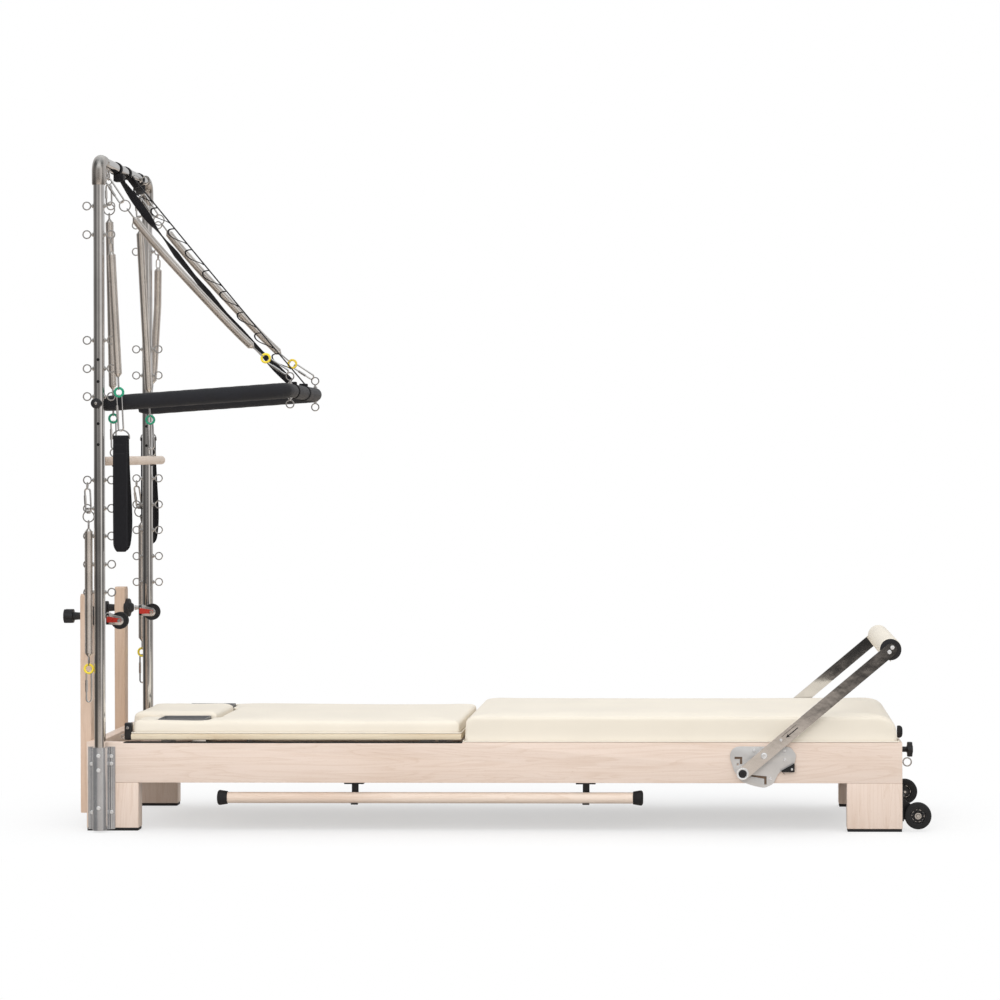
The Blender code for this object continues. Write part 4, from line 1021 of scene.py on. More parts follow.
def hand_strap(name, on, x, y):
    """A webbing loop on a D-ring, sewn together below the ring."""
    low, high, turn = 0.829, 1.1755, 0.0085
    depth, thickness, half_width = turn - 0.0014, 0.0028, 0.0225
    belly, lean, fold, steps = 0.0035, 0.009, 0.024, 40
    bottom, top = low + turn, high - turn

    def face_at(face, t, out=0.0):
        """A place on the back (-1) or front (1) face, at fraction t of the height."""
        drift = lean * sin(pi * sqrt(t)) ** 2 if face > 0 else 0.0
        return (x + drift, y + face * (depth + out + belly * sin(pi * t)),
                bottom + (top - bottom) * t)

    path = [(x, y + v, w) for v, w in arc((0, top), depth, 0, 180, 10)]
    path += [face_at(-1, 1 - i / steps) for i in range(1, steps)]
    path += [(x, y + v, w) for v, w in arc((0, bottom), depth, 180, 360, 10)]
    path += [face_at(1, i / steps) for i in range(1, steps)]
    widths = [1.0 - 0.44 * max(0.0, 1 - (p[2] - low - 0.0014) / fold) ** 2 for p in path]
    strap, thread, d_ring = Shape(), Shape(), Shape()
    band(strap, path, X, half_width, thickness, closed=True, radii=widths)
    make(f"hand_strap_{name}_webbing", strap, "webbing", on, f"hand_strap_{name}")
    seam_x, cross_x, stand_off = 0.0185, 0.018, thickness / 2 + 0.0002
    for face in (-1, 1):
        for across in (-seam_x, seam_x):
            seam = [Vector(face_at(face, 0.02 + 0.96 * i / 24, stand_off)) for i in range(25)]
            stitches(thread, [p + X * across for p in seam])
        for t in (0.94, 0.86):
            middle = Vector(face_at(face, t, stand_off))
            stitches(thread, [middle - X * cross_x, middle + X * cross_x])
    make(f"hand_strap_{name}_thread", thread, "thread", on)
    reach, edge = 0.0250, 0.0025
    loop = [(u, 0.003 + 0.86 * v) for u, v in arc((0, 0), reach, 0, 180, 16)]
    loop += [(-reach, -0.001), (-reach + edge, -edge), (reach - edge, -edge), (reach, -0.001)]
    sweep(d_ring, [(x + u, y, top + v) for u, v in loop], 0.0022, 8, closed=True, guide=Y)
    make(f"hand_strap_{name}_d_ring", d_ring, "clip", on)


ARM_STRAPS = {"near": ((-1.0995, -0.365), []),
              "far": ((-1.170, 0.408), [(-1.135, 0.388, 1.60), (-1.150, 0.402, 1.40)])}
LEG_SPRINGS = {"near": [(-1.1970, -0.365, 0.95), (-1.1970, -0.365, 0.385)],
               "far": [(-1.1920, 0.380, 0.93), (-1.1870, 0.386, 0.90), (-1.1870, 0.386, 0.385)]}


def arm_and_leg_springs():
    """Arm springs with hand straps, and leg springs parked on the posts, with snap hooks."""
    for name, side in SIDES.items():
        on = f"arm_strap_{name}"
        place, via = ARM_STRAPS[name]
        link, top = first_link((POST_X + EYE_REACH, side * POST_Y, ARM_EYE_Z), X)
        hung_spring(f"arm_spring_outer_{name}", [top, *via, (*place, 1.189)], (0.045, 0.715), 0.795,
                    "green", on, link)
        hand_strap(name, on, *place)
        on = f"leg_spring_{name}"
        link, top = first_link((POST_X - EYE_REACH, side * POST_Y, LEG_EYE_Z), X)
        points = [top, *LEG_SPRINGS[name]]
        hung_spring(on, points, (0.185, 0.79), 0.845, "yellow", on, link)
        swivel = Shape()
        for fraction in (0.10, 0.118):
            lathe(swivel, Route(points).at(fraction), Z, [(0, 0.004), (0.001, 0.0062),
                                                          (0.006, 0.0062), (0.007, 0.004)], 14)
        make(f"leg_spring_{name}_swivel", swivel, "clip", on)


# ------------------------------------------------------------------ push-through bar
def push_through_bar():
    """A bar with a grey grip, foam sleeves round its corners, pivot pins and knobs."""
    on = "push_through_bar"
    rise = (PTB_BAR.z - PTB_PIVOT_Z) / (PTB_BAR.x - POST_X)
    bend, sleeve_radius, straight = 0.030, 0.0235, 34
    corner = (PTB_BAR.x - bend, -PTB_ARM_Y + bend)

    def at(x, y):
        return Vector((x, y, PTB_PIVOT_Z + (x - POST_X) * rise))

    bar, sleeves, hardware, knobs = Shape(), Shape(), Shape(), Shape()
    half = arc(corner, bend, -30, 0, 4)
    sweep(bar, [at(x, y) for x, y in half] + [at(x, -y) for x, y in reversed(half)],
          PTB_BAR_RADIUS, 32)
    make("push_through_bar_grip", bar, "end_grip", on, on)
    start, end = POST_X - 0.018, corner[0] - 0.004
    line = [(start + (end - start) * i / straight, -PTB_ARM_Y) for i in range(straight + 1)]
    line += arc(corner, bend, -86, -14, 12)
    count = len(line) - 1
    rim = (0.62, 0.86, 0.955, 0.99)
    radii = []
    for i in range(count + 1):
        edge = min(i, count - i)
        soft = rim[edge] if edge < len(rim) else 1.0
        uneven = 0.0003 * sin(i * 1.9) if edge >= len(rim) else 0.0
        radii.append(sleeve_radius * soft + uneven)
    for side in SIDES.values():
        sweep(sleeves, [at(x, -side * y) for x, y in line], radii, 32)
        lathe(hardware, (POST_X, side * 0.3400, PTB_PIVOT_Z), Y * side,
              [(0, 0.009), (0.006, 0.009), (0.0065, 0.0060), (0.0435, 0.0060)])
        for z, way in ((PTB_EYE_TOP, 1), (PTB_EYE_BOTTOM, -1)):
            eyebolt(hardware, (PTB_EYE_X, side * PTB_EYE_Y, PTB_BAR.z), Z * way, Y,
                    abs(z - PTB_BAR.z), PTB_BAR_RADIUS)
    lathe(knobs, (POST_X, -0.3825, PTB_PIVOT_Z), -Y,
          [(0, 0.010), (0.001, 0.0125), (0.006, 0.0125), (0.008, 0.0095), (0.014, 0.0095),
           (0.017, 0.0150), (0.030, 0.0155), (0.0335, 0.0140), (0.0350, 0.0105)], 28)
    lathe(knobs, (POST_X, 0.3820, PTB_PIVOT_Z), Y, [(0, 0.011), (0.001, 0.012), (0.005, 0.012),
                                                  (0.006, 0.0105)], 24)
    screw(hardware, (POST_X, -0.4172, PTB_PIVOT_Z), -Y, 0.0045, 0.0015)
    make("push_through_bar_sleeves", sleeves, "grip", on)
    make("push_through_bar_hardware", hardware, "clip", on)
    make("push_through_bar_knobs", knobs, "plastic", on)


def bar_springs():
    """Two springs between the crossbar and the push-through bar."""
    for name, side in SIDES.items():
        top = (POST_X + 0.004, side * BAR_SPRING_Y, CROSSBAR_EYE_Z - 0.012)
        bottom = (PTB_EYE_X - 0.006, side * PTB_EYE_Y, PTB_EYE_TOP + 0.010)
        points = sagging(top, bottom, 0.044, 28, 3.4)
        for piece in hung_spring(f"bar_spring_{name}", points, (0.175, 0.84), 0.90, "yellow", None):
            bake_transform(piece)


STRAP_THICKNESS = 0.0026
# Where the slack strap turns on edge: (part of its length, degrees).
STRAP_TURNS = ((0.0, 62), (0.05, 35), (0.10, 0), (0.16, 5), (0.22, 72), (0.26, 80), (0.33, 40),
               (0.44, 55), (0.52, 35), (0.62, 58), (0.72, 40), (0.84, 52), (0.92, 8), (1.0, 25))
# The chain's loose tail, from the crossbar: (x, y, z).
CHAIN_TAIL = ((0.014, 0.020, -0.016), (0.030, 0.060, -0.045), (0.026, 0.120, -0.056),
              (0.022, 0.180, -0.044), (0.014, 0.222, -0.020))
# One of the chain's pockets: (along the strap, below it).
POCKET = ((0.000, 0.0020), (-0.006, 0.0120), (-0.006, 0.0205), (0.004, 0.0255),
          (0.020, 0.0225), (0.039, 0.0130), (0.055, 0.0040), (0.062, 0.0020))
POCKETS, POCKET_START, POCKET_STEP = 9, 0.040, 0.084


def wrap(shape, centre, radius, half_width):
    """A strap's loop round a bar that runs along Y."""
    points = [centre + X * u + Z * v for u, v in arc((0, 0), radius, 0, 360, 20)]
    band(shape, points[:-1], Y, half_width, STRAP_THICKNESS, closed=True)


def safety_straps():
    """A flat strap, and a daisy chain seen from its edge, each looped round both bars."""
    slack = 0.0016
    top_radius, bar_radius = CROSSBAR_RADIUS + slack, PTB_BAR_RADIUS + slack
    rail = Vector((POST_X, 0, CROSSBAR_Z))
    near_y, centre_y = (-0.120, -0.190), (0.020, 0.040)
    near = sagging(rail + Vector((0.012, near_y[0], -0.029)),
                   PTB_BAR + Vector((-0.006, near_y[1], 0.0275)), 0.030, 48)
    centre = sagging(rail + Vector((0.022, centre_y[0], -0.010)),
                     PTB_BAR + Vector((0.004, centre_y[1], 0.0275)), 0.004, 28)
    loops, ends, flat, chain = Shape(), Shape(), Shape(), Shape()
    for y, half in ((near_y[0], 0.011), (centre_y[0], 0.011), (0.225, 0.010)):
        wrap(loops, rail + Y * y, top_radius, half)
    band(loops, smooth_path([rail + Vector(place) for place in CHAIN_TAIL], 6), (1, 0, 0.3), 0.009,
         0.0024)
    block(loops, rail + Vector((-0.004, -0.138, -0.040)), rail + Vector((0.026, -0.102, -0.018)))
    make("crossbar_strap_loops", loops, "webbing", "frame")
    for y in (near_y[1], centre_y[1]):
        place = PTB_BAR + Y * y
        wrap(ends, place, bar_radius, 0.011)
        block(ends, place + Vector((-0.012, -0.013, 0.0205)), place + Vector((0.012, 0.013, 0.0290)))
    make("bar_strap_loops", ends, "webbing", "push_through_bar")
    turns = np.interp(np.linspace(0, 1, len(near)), *zip(*STRAP_TURNS)).tolist()
    band(flat, near, (1, 0, 1), 0.0125, STRAP_THICKNESS, twist=turns)
    band(chain, centre, Y, 0.0105, STRAP_THICKNESS)
    route = Route(centre)
    along = (centre[-1] - centre[0]).normalized()
    down = along.cross(Y)
    down = -down if down.z > 0 else down
    for i in range(POCKETS):
        start = route.at((POCKET_START + i * POCKET_STEP) / route.total)
        band(chain, smooth_path([start + along * a + down * d for a, d in POCKET], 3), Y, 0.0100,
             0.0022)
    for strap, shape, path in (("near", flat, near), ("centre", chain, centre)):
        piece = make(f"safety_strap_{strap}_webbing", shape, "webbing_slant", None,
                     f"safety_strap_{strap}")
        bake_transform(piece)


# ------------------------------------------------------------------ upholstery
def apply_modifiers(piece):
    ready = piece.evaluated_get(bpy.context.evaluated_depsgraph_get())
    mesh = bpy.data.meshes.new_from_object(ready)
    old = piece.data
    piece.modifiers.clear()
    piece.data = mesh
    bpy.data.meshes.remove(old)


def places_of(mesh):
    places = np.empty(len(mesh.vertices) * 3)
    mesh.vertices.foreach_get("co", places)
    return places.reshape(-1, 3)


def blow_up(piece, cap, pinned_below, pressure, frames):
    """Cloth under pressure. Points under pinned_below are held, and none moves further than cap."""
    start = places_of(piece.data)
    held = piece.vertex_groups.new(name="held")
    held.add(np.flatnonzero(start[:, 2] < pinned_below).tolist(), 1.0, "REPLACE")
    cloth = piece.modifiers.new("cloth", "CLOTH")
    settings = cloth.settings
    settings.quality = 4
    settings.mass = 0.3
    settings.vertex_group_mass = "held"
    settings.use_pressure = True
    settings.uniform_pressure_force = pressure
    settings.effector_weights.gravity = 0.0
    cloth.collision_settings.use_collision = False
    cloth.point_cache.frame_start, cloth.point_cache.frame_end = 1, frames
    for number in range(1, frames + 1):
        bpy.context.scene.frame_set(number)
    ready = piece.evaluated_get(bpy.context.evaluated_depsgraph_get()).to_mesh()
    moved = places_of(ready) - start
    lengths = np.maximum(np.linalg.norm(moved, axis=1, keepdims=True), 1e-9)
    start = start + moved / lengths * (cap * np.tanh(lengths / cap))
    piece.modifiers.remove(cloth)
    piece.vertex_groups.clear()
    bpy.context.scene.frame_set(1)
    piece.data.vertices.foreach_set("co", start.reshape(-1))


def inflate(piece, voxel, cap, pinned_below, base=None, pressure=4.0, frames=20):
    """Turn a closed shape into a stuffed one: remesh it, blow it up as cloth, and smooth it.
    None of its points ends up under base."""
    remesh = piece.modifiers.new("voxels", "REMESH")
    remesh.mode = "VOXEL"
    remesh.voxel_size = voxel
    apply_modifiers(piece)
    blow_up(piece, cap, pinned_below, pressure, frames)
    smoother = piece.modifiers.new("smooth", "CORRECTIVE_SMOOTH")
    smoother.factor = 0.5
    smoother.iterations = 6
    smoother.smooth_type = "LENGTH_WEIGHTED"
    smoother.use_only_smooth = True
    finer = piece.modifiers.new("finer", "SUBSURF")
    finer.levels = finer.render_levels = 1
    apply_modifiers(piece)
    if base is not None:
        for vertex in piece.data.vertices:
            vertex.co.z = max(vertex.co.z, base)
    piece.data.shade_smooth()


def pad(name, shape, on, node, fill, *how, **more):
    """A padded vinyl piece, blown up from a shape."""
    piece = make(name, shape, "vinyl", None)
    inflate(piece, *how, **more)
    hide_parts(node)
    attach(piece, on)
    return piece


def welt(shape, outline, z, radius):
    """A cord sewn along a level seam."""
    sweep(shape, [(x, y, z) for x, y in outline], radius, closed=True)


def level(u, v, w):
    return u, v, w


PAD_INSET = 0.0035


def carriage():
    """The carriage cushion with its shoulder-rest pockets, and what hangs from its board."""
    low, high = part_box("carriage_cushion")
    inset, welt_inset = PAD_INSET, 0.001
    pocket_y, slot_y, slot_x = 0.2812 + inset, 0.170 + inset, -0.838 + inset
    pocket_x0, pocket_x1 = -1.0098 - inset, -0.8628 + inset
    x0, x1, y1 = low.x + inset, high.x - inset, high.y - inset
    half = [(x1, y1), (x0, y1), (x0, slot_y), (pocket_x0, slot_y), (pocket_x0, pocket_y),
            (pocket_x1, pocket_y), (pocket_x1, slot_y), (slot_x, slot_y)]
    outline = rounded_corners(half + [(x, -y) for x, y in reversed(half)], 0.0045, 3)
    cushion, seam = Shape(), Shape()
    slab(cushion, outline, (low.z - 0.007, high.z - inset), level, 0.009, 3)
    pad("carriage_pad", cushion, "carriage", "carriage_cushion", 0.95, 0.0075, 0.0040,
        low.z + 0.004, low.z)
    x0, x1, y1 = low.x + welt_inset, high.x - welt_inset, high.y - welt_inset
    welt(seam, rounded_corners([(x1, y1), (x0, y1), (x0, -y1), (x1, -y1)], 0.012, 8),
         low.z + 0.0022, 0.0021)
    make("carriage_pad_welt", seam, "welt", "carriage")
    carriage_board()
    carriage_springs()
    headrest()
    carriage_wheels()


def carriage_board():
    """A plywood board with pocket plates, rope cleats and wheel brackets."""
    low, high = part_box("carriage_board")
    board, plates, cleats, brackets, screws = (Shape() for _ in range(5))
    board_y, board_z = 0.318, (0.268, 0.286)
    block(board, (low.x + 0.021, -board_y, board_z[0]), (high.x, board_y, board_z[1]), 0.0022, 3)
    make("carriage_board_ply", board, "plywood", "carriage", "carriage_board")
    floor_y, floor_z, wall, edge = (0.173, 0.275), (0.2858, 0.289), 0.0022, 0.0004
    wall_z, wall_x = (0.2868, 0.3272), (-1.0066, -0.8659)
    cleat_x, cleat_z, eye_y, eye_z = -1.0930, 0.303, 0.295, 0.276
    bracket_half, bracket_y = 0.022, 0.2585
    for side in SIDES.values():
        out = Y * side
        side_block(plates, side, (-1.0035, -0.869), floor_y, floor_z, 0.0008)
        for x in (-0.985, -0.887):
            screw(screws, (x, side * 0.224, floor_z[1]), Z, 0.004, 0.0015)
        for y in ((0.1706, 0.1720), (0.2758, 0.2758 + wall)):
            side_block(plates, side, wall_x, y, wall_z, edge, 1)
        for x in ((wall_x[0], wall_x[0] + wall), (wall_x[1] - wall, wall_x[1])):
            side_block(plates, side, x, (0.1722, 0.2756), wall_z, edge, 1)
        side_block(cleats, side, (-1.103, -1.0825), (0.280, 0.310), (0.2665, 0.317), 0.003, 3)
        side_block(cleats, side, (-1.101, -1.076), (0.283, 0.307), (0.2690, 0.284), 0.001)
        lathe(cleats, (cleat_x, side * 0.3098, cleat_z), out, [(0, 0.008), (0.001, 0.0085),
                                                               (0.003, 0.0070)])
        screw(screws, (cleat_x, side * 0.3115, cleat_z), out, 0.0045, 0.002)
        ring(screws, (-1.1100, side * eye_y, eye_z), Y, 0.0055, 0.0014, 16, 6)
        rod(screws, (-1.1045, side * eye_y, eye_z), X, 0.0022, 0.004, 8)
        for x in AXLES_X.values():
            span = (x - bracket_half, x + bracket_half)
            side_block(brackets, side, span, (0.255, bracket_y), (0.208, 0.2675), 0.0008)
            side_block(brackets, side, span, (0.220, bracket_y), (0.2645, 0.2678), 0.0008)
            lathe(brackets, (x, side * 0.2535, AXLE_Z), out,
                  [(0, 0.0065), (0.004, 0.0065), (0.0045, 0.004), (0.0370, 0.004)], 12)
    make("carriage_pocket_plates", plates, "pocket", "carriage")
    make("carriage_cleats", cleats, "plastic", "carriage")
    make("carriage_wheel_brackets", brackets, "clip", "carriage")
    make("carriage_screws", screws, "clip", "carriage")


def carriage_springs():
    """Unhooked springs, parked between two bars under the carriage."""
    bars, coils = Shape(), Shape()
    bar_y, bar_z, spring_x, spring_z = 0.215, (0.235, 0.2677), (-0.740, -0.160), 0.2515
    for x0, x1 in ((-0.172, -0.148), (-0.752, -0.736)):
        block(bars, (x0, -bar_y, bar_z[0]), (x1, bar_y, bar_z[1]))
    for y in (-0.18, -0.06, 0.06, 0.18):
        route = Route([(x, y, spring_z) for x in spring_x])
        helix(coils, route, 0.085, 0.93, 0.011, 0.0014, 0.0034, 10, 4)
        for start, end in ((0, 0.09), (0.925, 1.0)):
            oval(coils, route.at(start), route.at(end), 0.012, 0.0018, Z)
    make("carriage_spring_bars", bars, "aluminium", "carriage", "carriage_springs")
    make("carriage_spring_coils", coils, "wire", "carriage")


def headrest():
    """A cushion on a thin board, with a welt between them."""
    low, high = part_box("headrest")
    corner, board_top, rim = 0.016, low.z + 0.010, 0.004
    cushion, board, seam = Shape(), Shape(), Shape()
    slab(cushion, rectangle(low, high, PAD_INSET, corner, 5), (board_top, high.z - 0.004), level,
         0.010, 3)
    pad("headrest_pad", cushion, "headrest", "headrest", 0.95, 0.006, 0.0050, low.z + 0.013,
        board_top)
    block(board, (low.x + rim, low.y + rim, low.z), (high.x - rim, high.y - rim, low.z + 0.0105),
          0.0015)
    make("headrest_board", board, "plywood", "headrest")
    welt(seam, rectangle(low, high, 0.002, corner, 8), low.z + 0.0125, 0.0018)
    make("headrest_welt", seam, "welt", "headrest")


def carriage_wheels():
    w, r, dish = 0.0097, 0.026, 0.0097 - 0.0025
    half = [(w, 0.0065), (w, 0.011), (dish, 0.013), (dish, 0.020), (w, 0.0215), (w, r - 0.002),
            (w - 0.002, r)]
    profile = [(-u, v) for u, v in half] + half[::-1]
    for end, x in AXLES_X.items():
        for name, side in SIDES.items():
            on = f"carriage_wheel_{end}_{name}"
            wheel = Shape()
            turned_ring(wheel, (x, side * 0.280, AXLE_Z), Y, profile, 36)
            make(f"{on}_tyre", wheel, "plastic", on, on)


def mat():
    """The mat insert, with a sloping foot end, welts on its seams and a rubber bumper."""
    low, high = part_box("mat_cushion")
    x0, x1 = low.x, HALF_LENGTH - 0.0075
    bottom, top = low.z, high.z
    inset, slope, nose, edge = PAD_INSET, 0.050, 0.022, 0.0005
    cushion, seams, bumper = Shape(), Shape(), Shape()
    outline = [(x0 + inset, bottom - 0.008), (x1 - inset, bottom - 0.008)]
    outline += arc((x1 - slope, top - slope), slope - inset, 0, 90, 8)
    outline += arc((x0 + nose + inset, top - inset - nose), nose, 90, 180, 5)
    half_width = HALF_WIDTH - inset
    slab(cushion, outline, (-half_width, half_width), outwards(1), 0.010, 3)
    piece = pad("mat_pad", cushion, "mat", "mat_cushion", 0.95, 0.0080, 0.0045, bottom + 0.006,
                bottom)
    welt(seams, rectangle((x0, -HALF_WIDTH), (x1, HALF_WIDTH), 0.001, 0.010, 6), bottom + 0.0024,
         0.0022)
    surface = BVHTree.FromObject(piece, bpy.context.evaluated_depsgraph_get())
    flat = x1 - slope - x0 - nose
    line = [(x1 - edge, bottom + 0.010)] + arc((x1 - slope, top - slope), slope, 0, 90, 12)
    line += [(x1 - slope - flat * i / 24, top) for i in range(1, 24)]
    line += arc((x0 + nose, top - nose), nose, 90, 180, 6) + [(x0 + edge, bottom + 0.010)]
    for side in SIDES.values():
        found = [surface.find_nearest((u, side * (HALF_WIDTH - 0.009), v))[0] for u, v in line]
        sweep(seams, smooth_path(found, 2), 0.0011, 6)
    make("mat_welts", seams, "welt", "mat")
    lathe(bumper, (x1 - 0.004, -0.280, 0.290), X,
          [(0, 0.0175), (0.006, 0.0185), (0.010, 0.0175), (0.014, 0.0140), (0.0155, 0.0090)], 28)
    make("mat_bumper", bumper, "rubber", "mat")


# ------------------------------------------------------------------ footbar
PLATE_Y = 0.3463  # the plate's outer face
PLATE_CORNERS = ((0.7237, 0.2522), (0.8809, 0.2510), (0.8984, 0.2273), (0.8928, 0.2006),
                 (0.8453, 0.1739), (0.8305, 0.1413), (0.8038, 0.1294), (0.7682, 0.1368),
                 (0.7356, 0.1487), (0.7148, 0.1798), (0.7018, 0.2213), (0.7074, 0.2421))
PLATE_SLOTS = (
    ((0.7165, 0.2215), (0.7390, 0.2215), (0.7390, 0.2000), (0.7320, 0.2000), (0.7320, 0.2145),
     (0.7165, 0.2145)),
    ((0.7770, 0.2190), (0.7840, 0.2190), (0.7840, 0.2080), (0.7960, 0.2080), (0.7960, 0.2010),
     (0.7770, 0.2010)),
    ((0.7620, 0.1640), (0.7680, 0.1680), (0.8105, 0.1640), (0.8105, 0.1400), (0.8035, 0.1400),
     (0.8035, 0.1565)),
)
PLATE_HOLES = ((0.7260, 0.1990), (0.8790, 0.1840))
PLATE_SCREWS = ((0.7735, 0.2395), (0.8640, 0.2390), (0.8640, 0.2130), (0.8240, 0.2440),
                (0.8220, 0.1560))
STOP_CORNERS = ((0.8930, 0.2030), (0.8530, 0.1800), (0.8560, 0.1770), (0.8930, 0.1770))


def cut_plate(shape, outline, holes, y_span, radius=0.0006):
    """A flat plate with openings cut through it."""
    data = bpy.data.curves.new("plate_outline", "CURVE")
    data.dimensions = "2D"
    data.fill_mode = "BOTH"
    data.extrude = (y_span[1] - y_span[0]) / 2 - radius
    data.bevel_depth = radius
    data.bevel_resolution = 1
    data.offset = -radius
    for loop in [outline, *holes]:
        spline = data.splines.new("POLY")
        spline.points.add(len(loop) - 1)
        for point, (u, v) in zip(spline.points, loop):
            point.co = (u, v, 0, 1)
        spline.use_cyclic_u = True
    curve = bpy.data.objects.new("plate_outline", data)
    bpy.context.collection.objects.link(curve)
    ready = curve.evaluated_get(bpy.context.evaluated_depsgraph_get())
    made = bpy.data.meshes.new_from_object(ready)
    bpy.data.objects.remove(curve, do_unlink=True)
    middle = (y_span[0] + y_span[1]) / 2
    builder = bmesh.new()
    builder.from_mesh(made)
    bpy.data.meshes.remove(made)
    bmesh.ops.remove_doubles(builder, verts=builder.verts, dist=1e-6)
    shape.take(builder, lambda co: Vector((co.x, middle - co.z, co.y)))


def footbar():
    """Slotted plates on the rails, and a roller on two flat arms."""
    arm_half = 0.0185
    pivot, roller = (FOOTBAR_PIVOT.x, FOOTBAR_PIVOT.z), (FOOTBAR_ROLLER.x, FOOTBAR_ROLLER.z)
    tilt = degrees(atan2(roller[1] - pivot[1], roller[0] - pivot[0]))
    arm = arc(pivot, arm_half, tilt + 90, tilt + 270, 20)
    arm += arc(roller, arm_half, tilt - 90, tilt + 90, 20)
    outline = rounded_corners(PLATE_CORNERS, 0.009, 4)
    stop = rounded_corners(STOP_CORNERS, 0.003, 3)
    openings = [*PLATE_SLOTS, *(arc(hole, 0.0035, 0, 345, 14) for hole in PLATE_HOLES)]
    screws, stops = Shape(), Shape()
    for name, side in SIDES.items():
        plate, backing, bar = Shape(), Shape(), Shape()
        cut_plate(plate, outline, openings, sorted((side * (HALF_WIDTH + GAP), side * PLATE_Y)))
        make(f"footbar_plate_{name}_cut", plate, "plate", "frame", f"footbar_plate_{name}", smooth=30)
        for loop in PLATE_SLOTS:
            slab(backing, loop, (HALF_WIDTH + 0.0001, HALF_WIDTH + 0.0010), outwards(side))
        make(f"footbar_plate_{name}_slots", backing, "slot", "frame")
        for x, z in PLATE_SCREWS:
            screw(screws, (x, side * PLATE_Y, z), Y * side, 0.0046, 0.0026)
        slab(stops, stop, (HALF_WIDTH + GAP, 0.3540), outwards(side), 0.001, 2)
        screw(screws, (0.8850, side * 0.3540, 0.1855), Y * side, 0.0036, 0.0016)
        slab(bar, arm, FOOTBAR_ARM_Y, outwards(side), 0.0012, 2)
        make(f"footbar_arm_{name}_bar", bar, "flat_steel", "footbar", f"footbar_arm_{name}")
    make("footbar_plate_screws", screws, "painted_highlight", "frame")
    make("footbar_stops", stops, "rubber", "frame")
    footbar_fittings()
    footbar_roller()


# What is engraved on an arm, as (distance from the pivot, offset): an arrow and a plain line.
ARM_MARKS = (
    ((0.166, 0.0), (0.178, 0.0055), (0.176, 0.0014), (0.212, 0.0014), (0.212, -0.0014),
     (0.176, -0.0014), (0.178, -0.0055)),
    ((0.158, 0.0095), (0.214, 0.0095), (0.214, 0.0105), (0.158, 0.0105)),
)


def footbar_fittings():
    """Pivot bolts, screws and marks on the arms' outer faces."""
    bolts, washers, marks = Shape(), Shape(), Shape()
    reach = FOOTBAR_ROLLER - FOOTBAR_PIVOT
    along = reach.normalized()
    across = Vector((-along.z, 0, along.x))
    outer = FOOTBAR_ARM_Y[1]
    for side in SIDES.values():
        facing = Y * side
        face = FOOTBAR_PIVOT + facing * outer
        lathe(washers, FOOTBAR_PIVOT + facing * 0.3468, facing,
              [(0, 0.017), (0.0135, 0.017), (0.0140, 0.016)], 28)
        turned_ring(washers, face + facing * 0.0006, facing,
                    [(-0.0006, 0.0120), (-0.0006, 0.0182), (0.0004, 0.0182), (0.0022, 0.0172),
                     (0.0028, 0.0152), (0.0022, 0.0132), (0.0010, 0.0120)], 32)
        lathe(bolts, face, facing, [(0, 0.0118), (0.0022, 0.0118), (0.0030, 0.0106),
                                    (0.0030, 0.0060), (0.0012, 0.0055)], 28)
        for distance, offset, radius, height in (
                (0.082, 0, 0.0100, 0.0040), (0.150, 0.004, 0.0042, 0.0016),
                (reach.length - 0.0075, -0.00225, 0.0062, 0.0020),
                (reach.length + 0.0075, 0.00225, 0.0062, 0.0020)):
            screw(washers, face + along * distance + across * offset, facing, radius, height)
        for outline in ARM_MARKS:
            slab(marks, outline, (0.0003, -0.0003),
                 lambda u, v, w, f=face, y=facing: f + along * u + across * v - y * w)
    make("footbar_pivot_bolts", bolts, "plastic", "footbar")
    make("footbar_washers", washers, "painted_highlight", "footbar")
    make("footbar_arrows", marks, "hole", "footbar")


def footbar_roller():
    half, r, start = 0.3595, 0.0334, 0.008
    cushion, caps, seam = Shape(), Shape(), Shape()
    length = 2 * (half - start)
    rim = [(0, r - 0.004), (0.003, r - 0.001), (start, r)]
    lathe(cushion, FOOTBAR_ROLLER - Y * (half - start), Y,
          rim + [(length - u, v) for u, v in reversed(rim)], 40)
    pad("footbar_roller_pad", cushion, "footbar", "footbar_roller", 1.0, 0.005, 0.0010, -1.0,
        pressure=1.0)
    for side in SIDES.values():
        lathe(caps, FOOTBAR_ROLLER + Y * side * (half - 0.009), Y * side,
              [(0, 0.0295), (0.001, 0.0315), (0.0072, 0.0315), (0.0088, 0.0295), (0.0092, 0.0200)], 40)
    seam_start = FOOTBAR_ROLLER - Y * (half - 0.012) - Z * (r + 0.0012)
    sweep(seam, [seam_start, seam_start + Y * 2 * (half - 0.012)], 0.0011)
    make("footbar_roller_caps", caps, "plastic", "footbar")
    make("footbar_roller_seam", seam, "welt", "footbar")


# ------------------------------------------------------------------ fittings
def foot_fittings():
    """A star knob and an eyebolt on the foot board."""
    knob, eye = Shape(), Shape()
    knob_z, eye_y, eye_z = 0.210, -0.040, 0.1755
    star_knob(knob, (1.2450, 1.2605), (0, knob_z), 0.0245)
    lathe(knob, (HALF_LENGTH + 0.0004, 0, knob_z), X,
          [(0, 0.0105), (0.001, 0.0115), (0.008, 0.0115), (0.009, 0.0085), (0.036, 0.0085)])
    make("foot_knob_star", knob, "plastic", "foot_knob", "foot_knob")
    lathe(eye, (HALF_LENGTH - 0.001, eye_y, eye_z), X,
          [(0, 0.0080), (0.002, 0.0080), (0.0022, 0.0032), (0.021, 0.0032)], 14)
    ring(eye, (1.2425, eye_y, eye_z), Y, 0.0125, 0.0022, 28)
    make("foot_eyebolt", eye, "clip", "frame")


